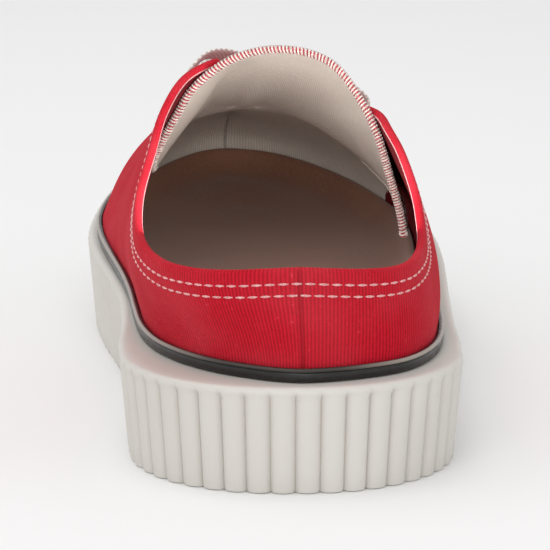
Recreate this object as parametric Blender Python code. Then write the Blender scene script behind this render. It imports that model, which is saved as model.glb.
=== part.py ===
"""A canvas sneaker mule for the right foot, standing empty on its sole.

The wearer's right is +X, the toe points along +Y and the floor is z = 0. Tables are written from
the heel: from_heel is the distance forward from the back of the sole, medial and lateral are
distances to the left and right of the heel's centre line, and heights are from the floor.
"""
import math

import bmesh
import bpy
import numpy as np
from mathutils import Vector

# Driving sizes, in metres
LENGTH = 0.270
MIDDLE_ACROSS = -0.0036    # centre of the sole's width, from the heel's centre line
CLEARANCE = 0.0003

# Side wall of the sole
RIB_COUNT = 104
RIB_DEPTH = 0.0018
RIB_SHOULDER = 0.0004
RIB_HEAD_INSET = 0.0004    # how far the ribs' heads stand back from the lip
LIP_UNDERSIDE = 0.0002     # height of the step between the ribs' heads and the lip
RIB_TOP_BELOW_LIP = 0.0022
WALL_DRAFT = 0.0022        # the wall leans out by this much from the floor to the lip
LIP_ROUNDING = 0.0017
POCKET_DEPTH = 0.0070
POCKET_INSET = 0.0036      # from the outside of the foxing band

# Tread
TREAD_DEPTH = 0.0034
TREAD_INSET = 0.0062       # from the lip's outline
GROOVE_DEPTH = 0.0016
GROOVE_WIDTH = 0.0034
GROOVE_PITCH = 0.0118
GROOVE_COUNT = 20
GROOVE_REACH = 0.0380      # length of a groove across the tread, on either side
GROOVE_LEAN = 0.0060       # how far its outer end falls back toward the heel
FIRST_GROOVE = 0.0200
WAIST = (0.072, 0.128)     # smooth stretch, from the heel
CENTRE_STRIP = 0.0012      # half width of the ungrooved strip

# Foxing band, upper and insole
BAND_THICKNESS = 0.0012
BAND_HEIGHT = 0.0030
CANVAS_THICKNESS = 0.0022
UPPER_INSET = BAND_THICKNESS + CLEARANCE
INSOLE_INSET = CANVAS_THICKNESS + 0.0005    # from the outside of the canvas
INSOLE_THICKNESS = 0.0045
INSOLE_RIM = 0.0054        # height of the rim over the footbed
INSOLE_CURVE = (           # inset and height of the rim's inner side, as a part of the rim's height
    (0.0000, 1.00),
    (0.0014, 1.00),
    (0.0034, 0.45),
    (0.0062, 0.12),
    (0.0095, 0.00))

# Throat and lacing
EYESTAY_THICKNESS = 0.0008
EYESTAY_WIDTH = 0.0150
EYELET_COUNT = 4
EYELET_FROM_EDGE = 0.0075
EYELET_RADIUS = 0.0041
EYELET_HOLE = 0.0023
EYELET_HEIGHT = 0.0005
EYELET_CORNERS = 8
LACE_WIDTH = 0.0062
LACE_THICKNESS = 0.0011
LACE_OVER_EYELETS = 0.0006
LACE_ARCH = 0.0026         # rise of a strap over the middle of the throat
TONGUE_THICKNESS = 0.0016
TONGUE_GAP = 0.0005        # between the tongue and the inside of the canvas


def table(names, *rows):
    """Table with named columns, each column an array."""
    return dict(zip(names.split(), np.array(rows).T))


# Outline of the sole at its lip
SOLE_OUTLINE = table(
    "from_heel medial lateral",
    (0.000, 0.0000, 0.0000),
    (0.003, -0.0170, 0.0170),
    (0.013, -0.0310, 0.0310),
    (0.028, -0.0390, 0.0395),
    (0.046, -0.0411, 0.0413),
    (0.074, -0.0409, 0.0418),
    (0.102, -0.0418, 0.0428),
    (0.130, -0.0452, 0.0440),
    (0.158, -0.0496, 0.0450),
    (0.186, -0.0522, 0.0444),
    (0.214, -0.0505, 0.0402),
    (0.238, -0.0455, 0.0315),
    (0.256, -0.0370, 0.0178),
    (0.267, -0.0258, 0.0010),
    (0.270, -0.0135, -0.0135))

# Heights of the sole's underside and of its lip
SOLE_HEIGHTS = table(
    "from_heel underside lip",
    (0.000, 0.0000, 0.0255),
    (0.060, 0.0000, 0.0252),
    (0.120, 0.0000, 0.0250),
    (0.180, 0.0000, 0.0256),
    (0.205, 0.0002, 0.0268),
    (0.230, 0.0026, 0.0294),
    (0.250, 0.0062, 0.0322),
    (0.270, 0.0112, 0.0356))

# Shape of the last: where its foot meets the foxing band's outside, one row for each section from
# the back of the heel to the toe
LAST_FOOT = table(
    "from_heel medial lateral",
    (0.0044, 0.0018, 0.0018),
    (0.0060, -0.0045, 0.0095),
    (0.0090, -0.0098, 0.0166),
    (0.0140, -0.0165, 0.0242),
    (0.0200, -0.0222, 0.0290),
    (0.0285, -0.0278, 0.0329),
    (0.0400, -0.0327, 0.0358),
    (0.0560, -0.0361, 0.0375),
    (0.0760, -0.0379, 0.0382),
    (0.0960, -0.0393, 0.0386),
    (0.1160, -0.0413, 0.0392),
    (0.1360, -0.0440, 0.0402),
    (0.1550, -0.0466, 0.0411),
    (0.1680, -0.0482, 0.0413),
    (0.1800, -0.0492, 0.0411),
    (0.1910, -0.0495, 0.0404),
    (0.2010, -0.0490, 0.0390),
    (0.2090, -0.0481, 0.0368),
    (0.2170, -0.0466, 0.0342),
    (0.2320, -0.0423, 0.0275),
    (0.2450, -0.0365, 0.0192),
    (0.2550, -0.0298, 0.0102),
    (0.2620, -0.0222, 0.0000),
    (0.2650, -0.0125, -0.0125))

# Top edge of the canvas over each of those sections: the collar, then both sides of the throat
COLLAR_AND_THROAT = table(
    "from_heel medial medial_height lateral lateral_height",
    (0.0058, 0.0010, 0.0512, 0.0010, 0.0512),
    (0.0070, -0.0070, 0.0507, 0.0090, 0.0507),
    (0.0093, -0.0135, 0.0500, 0.0158, 0.0501),
    (0.0138, -0.0205, 0.0493, 0.0223, 0.0496),
    (0.0198, -0.0263, 0.0489, 0.0270, 0.0496),
    (0.0280, -0.0312, 0.0489, 0.0300, 0.0502),
    (0.0390, -0.0352, 0.0500, 0.0318, 0.0509),
    (0.0530, -0.0372, 0.0522, 0.0327, 0.0524),
    (0.0710, -0.0370, 0.0576, 0.0324, 0.0576),
    (0.0880, -0.0342, 0.0652, 0.0300, 0.0646),
    (0.1030, -0.0312, 0.0730, 0.0276, 0.0683),
    (0.1165, -0.0258, 0.0797, 0.0262, 0.0697),
    (0.1260, -0.0176, 0.0828, 0.0234, 0.0702),
    (0.1380, -0.0180, 0.0788, 0.0186, 0.0700),
    (0.1500, -0.0182, 0.0751, 0.0138, 0.0693),
    (0.1630, -0.0182, 0.0715, 0.0088, 0.0681),
    (0.1745, -0.0172, 0.0686, 0.0034, 0.0670),
    (0.1805, -0.0140, 0.0672, -0.0016, 0.0665),
    (0.1825, -0.0080, 0.0662, -0.0080, 0.0662))

# Crest of the vamp over the remaining sections, from the front end of the throat to the toe
CREST = table(
    "across from_heel height",
    (-0.0080, 0.1825, 0.0662),
    (-0.0092, 0.1950, 0.0632),
    (-0.0101, 0.2050, 0.0607),
    (-0.0108, 0.2130, 0.0586),
    (-0.0114, 0.2190, 0.0570),
    (-0.0117, 0.2220, 0.0562))

# How each section leaves its foot and its top edge. Flare is the outward lean at the foot and dip
# the outward fall at the edge, in degrees; a pull is how far the canvas keeps that lean.
LEANS = table(
    "medial_flare lateral_flare dip foot_pull edge_pull",
    (5, 5, 86, 0.0075, 0.0070),
    (5, 5, 86, 0.0075, 0.0070),
    (5, 5, 86, 0.0075, 0.0070),
    (6, 6, 86, 0.0075, 0.0070),
    (7, 7, 86, 0.0075, 0.0070),
    (8, 8, 85, 0.0075, 0.0070),
    (9, 10, 84, 0.0080, 0.0070),
    (12, 14, 83, 0.0095, 0.0080),
    (17, 16, 80, 0.0120, 0.0100),
    (20, 13, 74, 0.0150, 0.0120),
    (18, 7, 66, 0.0180, 0.0150),
    (8, 4, 57, 0.0190, 0.0170),
    (-4, 2, 50, 0.0180, 0.0180),
    (-13, 0, 46, 0.0150, 0.0190),
    (-18, -1, 41, 0.0140, 0.0195),
    (-20, -2, 36, 0.0130, 0.0200),
    (-20, -2, 28, 0.0130, 0.0210),
    (-16, -2, 19, 0.0135, 0.0230),
    (-12, -2, 8, 0.0130, 0.0240),
    (-8, 0, 8, 0.0125, 0.0240),
    (-4, 2, 9, 0.0115, 0.0225),
    (0, 3, 10, 0.0105, 0.0220),
    (2, 4, 12, 0.0095, 0.0220),
    (4, 4, 13, 0.0092, 0.0225))
THROAT_TOP = 12                              # section at the top corners of the throat
THROAT_BASE = len(COLLAR_AND_THROAT["from_heel"]) - 1
TOE = len(LAST_FOOT["from_heel"]) - 1

# Crest of the tongue, from its free edge to its seam under the vamp. A swell is how far the tongue
# rises above a straight line to either side, halfway down and at its lateral shoulder, and a
# spread is how far it bulges outward there.
TONGUE_CREST = table(
    "across from_heel height medial_swell lateral_spread lateral_swell shoulder_spread shoulder_swell",
    (-0.0050, 0.1180, 0.0865, 0.0022, 0.0030, 0.0072, 0.0020, 0.0036),
    (-0.0054, 0.1350, 0.0782, 0.0009, 0.0010, 0.0032, 0.0016, 0.0016),
    (-0.0062, 0.1530, 0.0708, 0.0004, 0.0002, 0.0014, 0.0004, 0.0008),
    (-0.0080, 0.1740, 0.0645, 0.0002, 0.0000, 0.0006, 0.0000, 0.0004),
    (-0.0092, 0.1950, 0.0597, 0.0000, 0.0000, 0.0000, 0.0000, 0.0000))
# Sides of the tongue, which lie along the inside of the canvas: at each depth below the throat's
# edge, the sections where its free edge and its seam are, and how far the lateral free edge hangs
# off the canvas
TONGUE_SIDES = table(
    "depth medial_free medial_seam lateral_free lateral_seam lateral_off",
    (0.003, 11.10, 19.0, 10.9, 19.0, 0.0000),
    (0.010, 10.95, 18.7, 10.8, 18.7, 0.0006),
    (0.018, 10.90, 18.2, 10.8, 18.2, 0.0018),
    (0.026, 11.00, 17.6, 10.8, 17.6, 0.0026),
    (0.034, 11.40, 17.0, 10.8, 17.1, 0.0028),
    (0.041, 11.90, 16.4, 10.8, 16.6, 0.0026))

# Colours as red, green, blue, then roughness
FINISHES = {
    "white_rubber": ((0.66, 0.64, 0.60), 0.55),
    "black_rubber": ((0.03, 0.025, 0.022), 0.5),
    "red_canvas": ((0.52, 0.012, 0.028), 0.85),
    "tongue_canvas": ((0.62, 0.56, 0.48), 0.9),
    "brown_footbed": ((0.16, 0.085, 0.05), 0.9),
    "eyelet_metal": ((0.6, 0.6, 0.6), 0.3),
    "white_cotton": ((0.8, 0.79, 0.77), 0.85),
}


def place(across, forward, height):
    """Point of the model from distances off the heel's centre line, the heel's back and the floor."""
    return np.stack(np.broadcast_arrays(across - MIDDLE_ACROSS, forward - LENGTH / 2, height), axis=-1)


def smooth(knots, rows, places):
    """Smooth curve through one row of values at each knot, read at places."""
    knots = np.asarray(knots, dtype=float)
    rows = np.asarray(rows, dtype=float)
    places = np.asarray(places, dtype=float)
    slopes = np.gradient(rows, knots, axis=0)
    left = np.clip(np.searchsorted(knots, places, side="right") - 1, 0, len(knots) - 2)
    span = knots[left + 1] - knots[left]
    part = (places - knots[left]) / span
    if rows.ndim > 1:
        span = span[:, None]
        part = part[:, None]
    back = (1 - part) ** 2
    ahead = part ** 2
    return (back * ((1 + 2 * part) * rows[left] + part * span * slopes[left])
            + ahead * ((3 - 2 * part) * rows[left + 1] + (part - 1) * span * slopes[left + 1]))


def smooth_loop(knots, rows, places):
    """Smooth closed curve. The last knot stands for the first row again."""
    reach = 3
    period = knots[-1] - knots[0]
    knots = np.concatenate([knots[-1 - reach:-1] - period, knots, knots[1:1 + reach] + period])
    rows = np.concatenate([rows[-reach:], rows, rows[:reach + 1]])
    return smooth(knots, rows, places)


def both_sides(rows, lateral, medial):
    """Rows round the foot: up the lateral side from heel to toe, then back down the medial side."""
    up = np.column_stack([rows[name] for name in lateral.split()])
    down = np.column_stack([rows[name] for name in medial.split()])
    return np.concatenate([up, down[-2:0:-1]])


def plan_loop(rows, count):
    """Closed outline in plan from a table, as evenly spaced points that start at the heel's back.

    Count is a number of points, or the parts of the way round where they are wanted.
    """
    corners = both_sides(rows, "lateral from_heel", "medial from_heel")
    closed = np.concatenate([corners, corners[:1]])
    knots = np.concatenate([[0], np.cumsum(np.linalg.norm(np.diff(closed, axis=0), axis=1))])
    fine = smooth_loop(knots, corners, np.linspace(0, knots[-1], 2001))
    along = np.concatenate([[0], np.cumsum(np.linalg.norm(np.diff(fine, axis=0), axis=1))])
    wanted = np.asarray(count) * along[-1] if np.ndim(count) else np.arange(count) / count * along[-1]
    return np.column_stack([np.interp(wanted, along, fine[:, axis]) for axis in (0, 1)])


def outward(plan):
    """Unit vectors that point out of a closed outline."""
    run = np.roll(plan, -1, axis=0) - np.roll(plan, 1, axis=0)
    run = run / np.linalg.norm(run, axis=1)[:, None]
    return np.column_stack([run[:, 1], -run[:, 0]])


def ring(plan, inset, level, rise):
    """Closed row of points inside an outline, raised from the level of the floor side or the lip."""
    inner = plan - outward(plan) * np.reshape(inset, (-1, 1))
    return place(inner[:, 0], inner[:, 1], level(inner) + rise)


def floor_height(plan):
    rise = smooth(SOLE_HEIGHTS["from_heel"], SOLE_HEIGHTS["underside"], np.clip(plan[:, 1], 0, LENGTH))
    return np.maximum(rise, 0)


def lip_height(plan):
    return smooth(SOLE_HEIGHTS["from_heel"], SOLE_HEIGHTS["lip"], np.clip(plan[:, 1], 0, LENGTH))


def add_ring(mesh, points):
    return [mesh.verts.new(point) for point in points]


def join_rings(mesh, low, high):
    """Quads between two closed rings of equal count, the second one above or inside the first."""
    count = len(low)
    for step in range(count):
        after = (step + 1) % count
        mesh.faces.new((low[step], low[after], high[after], high[step]))


def join_finer_ring(mesh, fine, coarse, flip=False):
    """Triangles between a fine ring and a coarser ring."""
    ratio = len(fine) // len(coarse)
    for step, corner in enumerate(coarse):
        following = coarse[(step + 1) % len(coarse)]
        row = [fine[(step * ratio + part) % len(fine)] for part in range(ratio + 1)]
        middle = ratio // 2
        faces = [(row[part], row[part + 1], corner) for part in range(middle)]
        faces.append((row[middle], following, corner))
        faces += [(row[part], row[part + 1], following) for part in range(middle, ratio)]
        for face in faces:
            mesh.faces.new(face[::-1] if flip else face)


def close_across(mesh, loop, faces_up):
    """Closes a ring that runs round the foot with strips from the lateral to the medial side."""
    count = len(loop)
    half = count // 2
    for step in range(half):
        low_side = (-step) % count
        high_side = (-step - 1) % count
        corners = []
        for vertex in (loop[step], loop[step + 1], loop[high_side], loop[low_side]):
            if vertex not in corners:
                corners.append(vertex)
        mesh.faces.new(corners if faces_up else corners[::-1])


def finish(name, mesh, finish_name, smooth_angle=40):
    """Turns a bmesh into the named object with its material."""
    data = bpy.data.meshes.new(name)
    mesh.to_mesh(data)
    mesh.free()
    part = bpy.data.objects.new(name, data)
    bpy.context.scene.collection.objects.link(part)
    data.materials.append(material(finish_name))
    data.shade_smooth()
    data.set_sharp_from_angle(angle=math.radians(smooth_angle))
    return part


def material(name):
    found = bpy.data.materials.get(name)
    if found:
        return found
    colour, roughness = FINISHES[name]
    made = bpy.data.materials.new(name)
    made.use_nodes = True
    shader = made.node_tree.nodes["Principled BSDF"]
    shader.inputs["Base Color"].default_value = (*colour, 1)
    shader.inputs["Roughness"].default_value = roughness
    shader.inputs["Metallic"].default_value = 1.0 if name == "eyelet_metal" else 0.0
    made.diffuse_color = (*colour, 1)
    return made


def cut(part, cutter):
    """Takes a cutter's shape out of a part."""
    cutter.hide_render = True
    cutter.display_type = "WIRE"
    carve = part.modifiers.new("cut", "BOOLEAN")
    carve.operation = "DIFFERENCE"
    carve.solver = "EXACT"
    carve.object = cutter


def rib_outline():
    """Fine outline of the wall: four points to a rib, with the groove first."""
    spots = np.array([0.0, 0.2, 0.5, 0.8])
    depths = np.array([RIB_DEPTH, RIB_SHOULDER, 0.0, RIB_SHOULDER])
    places = ((np.arange(RIB_COUNT)[:, None] + spots) / RIB_COUNT).ravel()
    return plan_loop(SOLE_OUTLINE, places), np.tile(depths, RIB_COUNT)


def make_sidewall():
    """Rubber cup: ribs up to a rounded lip, a shelf for the upper and a pocket for the insole."""
    ribs, depths = rib_outline()
    plain = plan_loop(SOLE_OUTLINE, RIB_COUNT)
    band = plan_loop(LAST_FOOT, RIB_COUNT)
    mesh = bmesh.new()
    rib_foot = add_ring(mesh, ring(ribs, WALL_DRAFT + depths, floor_height, 0))
    rib_head = add_ring(mesh, ring(ribs, RIB_HEAD_INSET + depths, lip_height, -RIB_TOP_BELOW_LIP))
    outer = [
        ring(plain, 0, lip_height, LIP_UNDERSIDE - RIB_TOP_BELOW_LIP),
        ring(plain, 0, lip_height, -LIP_ROUNDING),
        ring(plain, LIP_ROUNDING * 0.3, lip_height, -LIP_ROUNDING * 0.3),
        ring(plain, LIP_ROUNDING, lip_height, 0),
        ring(band, POCKET_INSET, lip_height, 0),
        ring(band, POCKET_INSET, lip_height, -POCKET_DEPTH),
    ]
    join_rings(mesh, rib_foot, rib_head)
    rings = [add_ring(mesh, points) for points in outer]
    join_finer_ring(mesh, rib_head, rings[0])
    for low, high in zip(rings, rings[1:]):
        join_rings(mesh, low, high)
    close_across(mesh, rings[-1], faces_up=True)
    tread_edge = add_ring(mesh, ring(plain, TREAD_INSET, floor_height, 0))
    tread_roof = add_ring(mesh, ring(plain, TREAD_INSET, floor_height, TREAD_DEPTH))
    join_finer_ring(mesh, rib_foot, tread_edge, flip=True)
    join_rings(mesh, tread_roof, tread_edge)
    close_across(mesh, tread_roof, faces_up=False)
    return finish("sidewall", mesh, "white_rubber")


def make_outsole():
    """Tread plate with grooves across the heel and the forefoot; the waist stays smooth."""
    plain = plan_loop(SOLE_OUTLINE, RIB_COUNT)
    mesh = bmesh.new()
    low = add_ring(mesh, ring(plain, TREAD_INSET + CLEARANCE, floor_height, 0))
    high = add_ring(mesh, ring(plain, TREAD_INSET + CLEARANCE, floor_height, TREAD_DEPTH - CLEARANCE))
    join_rings(mesh, low, high)
    close_across(mesh, low, faces_up=False)
    close_across(mesh, high, faces_up=True)
    plate = finish("outsole", mesh, "white_rubber")
    cutters = bmesh.new()
    for number in range(GROOVE_COUNT):
        forward = FIRST_GROOVE + number * GROOVE_PITCH
        if WAIST[0] < forward < WAIST[1]:
            continue
        roof = float(floor_height(np.array([[0, forward]]))[0]) + GROOVE_DEPTH
        for side in (1, -1):
            made = bmesh.ops.create_cube(cutters, size=1)
            for vertex in made["verts"]:
                share = vertex.co.x + 0.5
                across = MIDDLE_ACROSS + (share * GROOVE_REACH + CENTRE_STRIP) * side
                along = forward + vertex.co.y * GROOVE_WIDTH - share * GROOVE_LEAN
                vertex.co = place(across, along, roof if vertex.co.z > 0 else -TREAD_DEPTH)
            if side < 0:
                faces = {face for vertex in made["verts"] for face in vertex.link_faces}
                bmesh.ops.reverse_faces(cutters, faces=list(faces))
    data = bpy.data.meshes.new("tread_grooves")
    cutters.to_mesh(data)
    cutters.free()
    grooves = bpy.data.objects.new("tread_grooves", data)
    bpy.context.scene.collection.objects.link(grooves)
    cut(plate, grooves)
    return plate


class Last:
    """The outer surface of the canvas, read by section place and by height up the section.

    A place counts sections: 0 is the back of the heel, and the toe is the last one. Side is 1 for
    lateral and -1 for medial.
    """

    def __init__(self):
        self.foot_rows = both_sides(LAST_FOOT, "lateral from_heel", "medial from_heel")
        self.foot_knots = np.arange(2 * TOE + 1.0)
        self.rim_rows = both_sides(COLLAR_AND_THROAT, "lateral from_heel lateral_height",
                                   "medial from_heel medial_height")
        self.rim_knots = np.arange(2 * THROAT_BASE + 1.0)
        self.crest = np.column_stack(list(CREST.values()))

    def foot(self, places, side):
        """Foot of the canvas in plan, and the outward direction there."""
        places = np.asarray(places, dtype=float)
        round_foot = places if side > 0 else 2 * TOE - places
        step = 0.02
        points = smooth_loop(self.foot_knots, self.foot_rows, round_foot % (2 * TOE))
        ahead = smooth_loop(self.foot_knots, self.foot_rows, (round_foot + step) % (2 * TOE))
        behind = smooth_loop(self.foot_knots, self.foot_rows, (round_foot - step) % (2 * TOE))
        run = ahead - behind
        run = run / np.linalg.norm(run, axis=1)[:, None]
        out = np.column_stack([run[:, 1], -run[:, 0]])
        return points - out * UPPER_INSET, out

    def foot_ring(self, step, inset, rise):
        """Closed row of points round the foot of the canvas, inside it and raised from the lip."""
        columns = np.arange(0, TOE + step / 2, step)
        lateral, lateral_out = self.foot(columns, 1)
        medial, medial_out = self.foot(columns, -1)
        plan = np.concatenate([lateral, medial[-2:0:-1]])
        plan = plan - np.concatenate([lateral_out, medial_out[-2:0:-1]]) * inset
        return place(plan[:, 0], plan[:, 1], lip_height(plan) + rise)

    def edge(self, places, side):
        """Top edge: collar and throat, then the crest of the vamp. Columns: across, forward, height."""
        places = np.asarray(places, dtype=float)
        round_rim = places if side > 0 else 2 * THROAT_BASE - places
        rim = smooth_loop(self.rim_knots, self.rim_rows, round_rim % (2 * THROAT_BASE))
        ahead = np.clip(places - THROAT_BASE, 0, TOE - THROAT_BASE)
        crest = smooth(np.arange(len(self.crest)), self.crest, ahead)
        return np.where((places >= THROAT_BASE)[:, None], crest, rim)

    def crest_slope(self, places):
        """How fast the crest falls, as height for each length forward."""
        ahead = np.clip(np.asarray(places, dtype=float) - THROAT_BASE, 0.05, TOE - THROAT_BASE - 0.05)
        step = 0.04
        low = smooth(np.arange(len(self.crest)), self.crest, ahead - step)
        high = smooth(np.arange(len(self.crest)), self.crest, ahead + step)
        return (high[:, 2] - low[:, 2]) / (high[:, 1] - low[:, 1])

    def points(self, places, side, climbs):
        """Grid of points: one row for each place, one column for each climb from foot 0 to edge 1."""
        places = np.asarray(places, dtype=float)
        foot_plan, out = self.foot(places, side)
        edge = self.edge(places, side)
        sections = np.arange(TOE + 1)
        lean = {name: smooth(sections, column, places)[:, None] for name, column in LEANS.items()}
        flare = np.radians(lean["lateral_flare" if side > 0 else "medial_flare"])
        dip = np.radians(lean["dip"])
        start = np.column_stack([foot_plan, lip_height(foot_plan) + CLEARANCE * 2 + BAND_HEIGHT])
        gap = foot_plan - edge[:, :2]
        reach = np.linalg.norm(gap, axis=1)[:, None]
        weight = np.clip((reach - 0.004) / 0.008, 0, 1)
        away = out * (1 - weight) + gap / np.maximum(reach, 1e-6) * weight
        away = away / np.linalg.norm(away, axis=1)[:, None]
        up = np.array([0.0, 0.0, 1.0])
        foot_turn = np.column_stack([out, np.zeros(len(out))]) * np.sin(flare) + up * np.cos(flare)
        flat = np.column_stack([away, np.zeros(len(away))])
        fall = flat * np.cos(dip) - up * np.sin(dip)
        crest_fall = np.column_stack([away, self.crest_slope(places) * away[:, 1]])
        crest_fall = crest_fall / np.linalg.norm(crest_fall, axis=1)[:, None]
        fall = np.where((places >= THROAT_BASE)[:, None], crest_fall, fall)
        first = start + foot_turn * lean["foot_pull"]
        second = edge + fall * lean["edge_pull"]
        climbs = np.asarray(climbs, dtype=float)[None, :, None]
        down = 1 - climbs
        curve = (down ** 3 * start[:, None] + 3 * down ** 2 * climbs * first[:, None]
                 + 3 * down * climbs ** 2 * second[:, None] + climbs ** 3 * edge[:, None])
        return place(curve[..., 0], curve[..., 1], curve[..., 2])

    def normals(self, places, side, climbs):
        """Outward unit vectors at the same grid of points."""
        places = np.asarray(places, dtype=float)
        climbs = np.asarray(climbs, dtype=float)
        step = 0.02
        ahead = self.points(places + step, side, np.clip(climbs, 0.02, 0.96))
        behind = self.points(places - step, side, np.clip(climbs, 0.02, 0.96))
        higher = self.points(places, side, np.clip(climbs + step, 0.04, 0.98))
        lower = self.points(places, side, np.clip(climbs - step, 0.00, 0.94))
        normal = np.cross(ahead - behind, higher - lower) * side
        return normal / np.linalg.norm(normal, axis=-1)[..., None]

    def at_distance(self, place_number, side, distance):
        """Point and normal at a distance down the section from its edge."""
        climbs = np.linspace(1, 0, 201)
        run = self.points([place_number], side, climbs)[0]
        along = np.concatenate([[0], np.cumsum(np.linalg.norm(np.diff(run, axis=0), axis=1))])
        climb = float(np.interp(distance, along, climbs))
        point = self.points([place_number], side, [climb])[0, 0]
        return point, self.normals([place_number], side, [climb])[0, 0]


def make_band(last):
    """Dark strip that stands on the shelf round the foot of the canvas."""
    mesh = bmesh.new()
    inner, outer = -CLEARANCE, -CLEARANCE - BAND_THICKNESS
    rings = [add_ring(mesh, last.foot_ring(0.5, inset, CLEARANCE + rise)) for inset, rise in (
        (outer, 0), (outer, BAND_HEIGHT), (inner, BAND_HEIGHT), (inner, 0))]
    for low, high in zip(rings, rings[1:] + rings[:1]):
        join_rings(mesh, low, high)
    return finish("foxing_band", mesh, "black_rubber")


def make_insole(last):
    """Moulded footbed: a flat floor whose edge curls up into a rim all round."""
    base = CLEARANCE - POCKET_DEPTH
    bed = base + INSOLE_THICKNESS
    mesh = bmesh.new()
    rings = [add_ring(mesh, last.foot_ring(1, INSOLE_INSET, base))]
    for inset, part in INSOLE_CURVE:
        rings.append(add_ring(mesh, last.foot_ring(1, INSOLE_INSET + inset, bed + part * INSOLE_RIM)))
    for low, high in zip(rings, rings[1:]):
        join_rings(mesh, low, high)
    close_across(mesh, rings[0], faces_up=False)
    close_across(mesh, rings[-1], faces_up=True)
    return finish("insole", mesh, "brown_footbed")


def canvas_columns():
    """Section places of the upper's columns, the same on both sides."""
    return np.arange(0, 2 * TOE + 1) / 2


def canvas_grid(last, climbs):
    """Outer points and normals of the upper, round the foot: lateral side up, medial side down."""
    columns = canvas_columns()
    sides = []
    for side in (1, -1):
        points = last.points(columns, side, climbs)
        normals = last.normals(columns, side, climbs)
        sides.append((points, normals))
    lateral, medial = sides
    shared = columns >= THROAT_BASE
    crest_normal = lateral[1][shared, -1] + medial[1][shared, -1]
    crest_normal /= np.linalg.norm(crest_normal, axis=1)[:, None]
    lateral[1][shared, -1] = crest_normal
    medial[1][shared, -1] = crest_normal
    lateral[1][-1, -1] = medial[1][-1, -1] = crest_normal[-1]
    points = np.concatenate([lateral[0], medial[0][-2:0:-1]])
    normals = np.concatenate([lateral[1], medial[1][-2:0:-1]])
    return points, normals


def make_upper(last):
    """Canvas shell of even thickness, open at collar and throat and underneath."""
    climbs = np.array([0, 0.12, 0.25, 0.38, 0.5, 0.62, 0.74, 0.87, 1.0])
    outer, normals = canvas_grid(last, climbs)
    inner = outer - normals * CANVAS_THICKNESS
    drop = BAND_HEIGHT + CLEARANCE
    hem_outer = outer[:, :1] - [0, 0, drop]
    flat = normals[:, :1] * [1, 1, 0]
    flat = flat / np.linalg.norm(flat, axis=-1)[..., None]
    foot_inner = outer[:, :1] - flat * CANVAS_THICKNESS
    hem_inner = foot_inner - [0, 0, drop]
    inner[:, :1] = foot_inner
    mesh = bmesh.new()
    rows = [np.concatenate([hem_outer, outer], axis=1), np.concatenate([hem_inner, inner], axis=1)]
    sheets = [[[mesh.verts.new(point) for point in column] for column in sheet] for sheet in rows]
    count = len(outer)
    height = len(climbs) + 1
    for number in range(count):
        after = (number + 1) % count
        for level in range(height - 1):
            for sheet, flip in zip(sheets, (False, True)):
                corners = (sheet[number][level], sheet[after][level],
                           sheet[after][level + 1], sheet[number][level + 1])
                mesh.faces.new(corners[::-1] if flip else corners)
        low = (sheets[1][number][0], sheets[1][after][0], sheets[0][after][0], sheets[0][number][0])
        mesh.faces.new(low)
        lateral_end = number + 1 if number < count // 2 else count - number
        if lateral_end <= 2 * THROAT_BASE:
            mesh.faces.new((sheets[0][number][-1], sheets[0][after][-1],
                            sheets[1][after][-1], sheets[1][number][-1]))
    bmesh.ops.remove_doubles(mesh, verts=mesh.verts, dist=0.00002)
    bmesh.ops.dissolve_degenerate(mesh, edges=mesh.edges, dist=0.00001)
    return finish("upper", mesh, "red_canvas")


def sheet_body(name, finish_name, top, bottom, smooth_angle=40):
    """Closed body from two grids of points, the upper face and the lower face."""
    mesh = bmesh.new()
    grids = [[[mesh.verts.new(point) for point in row] for row in grid] for grid in (top, bottom)]
    rows, columns = len(top), len(top[0])
    for row in range(rows - 1):
        for column in range(columns - 1):
            for grid, flip in zip(grids, (False, True)):
                corners = (grid[row][column], grid[row][column + 1],
                           grid[row + 1][column + 1], grid[row + 1][column])
                mesh.faces.new(corners[::-1] if flip else corners)
    rim = [(0, column) for column in range(columns)] + [(row, columns - 1) for row in range(1, rows)]
    rim += [(rows - 1, column) for column in range(columns - 2, -1, -1)]
    rim += [(row, 0) for row in range(rows - 2, 0, -1)]
    for (row, column), (next_row, next_column) in zip(rim, rim[1:] + rim[:1]):
        mesh.faces.new((grids[0][next_row][next_column], grids[0][row][column],
                        grids[1][row][column], grids[1][next_row][next_column]))
    bmesh.ops.recalc_face_normals(mesh, faces=mesh.faces)
    return finish(name, mesh, finish_name, smooth_angle)


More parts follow.
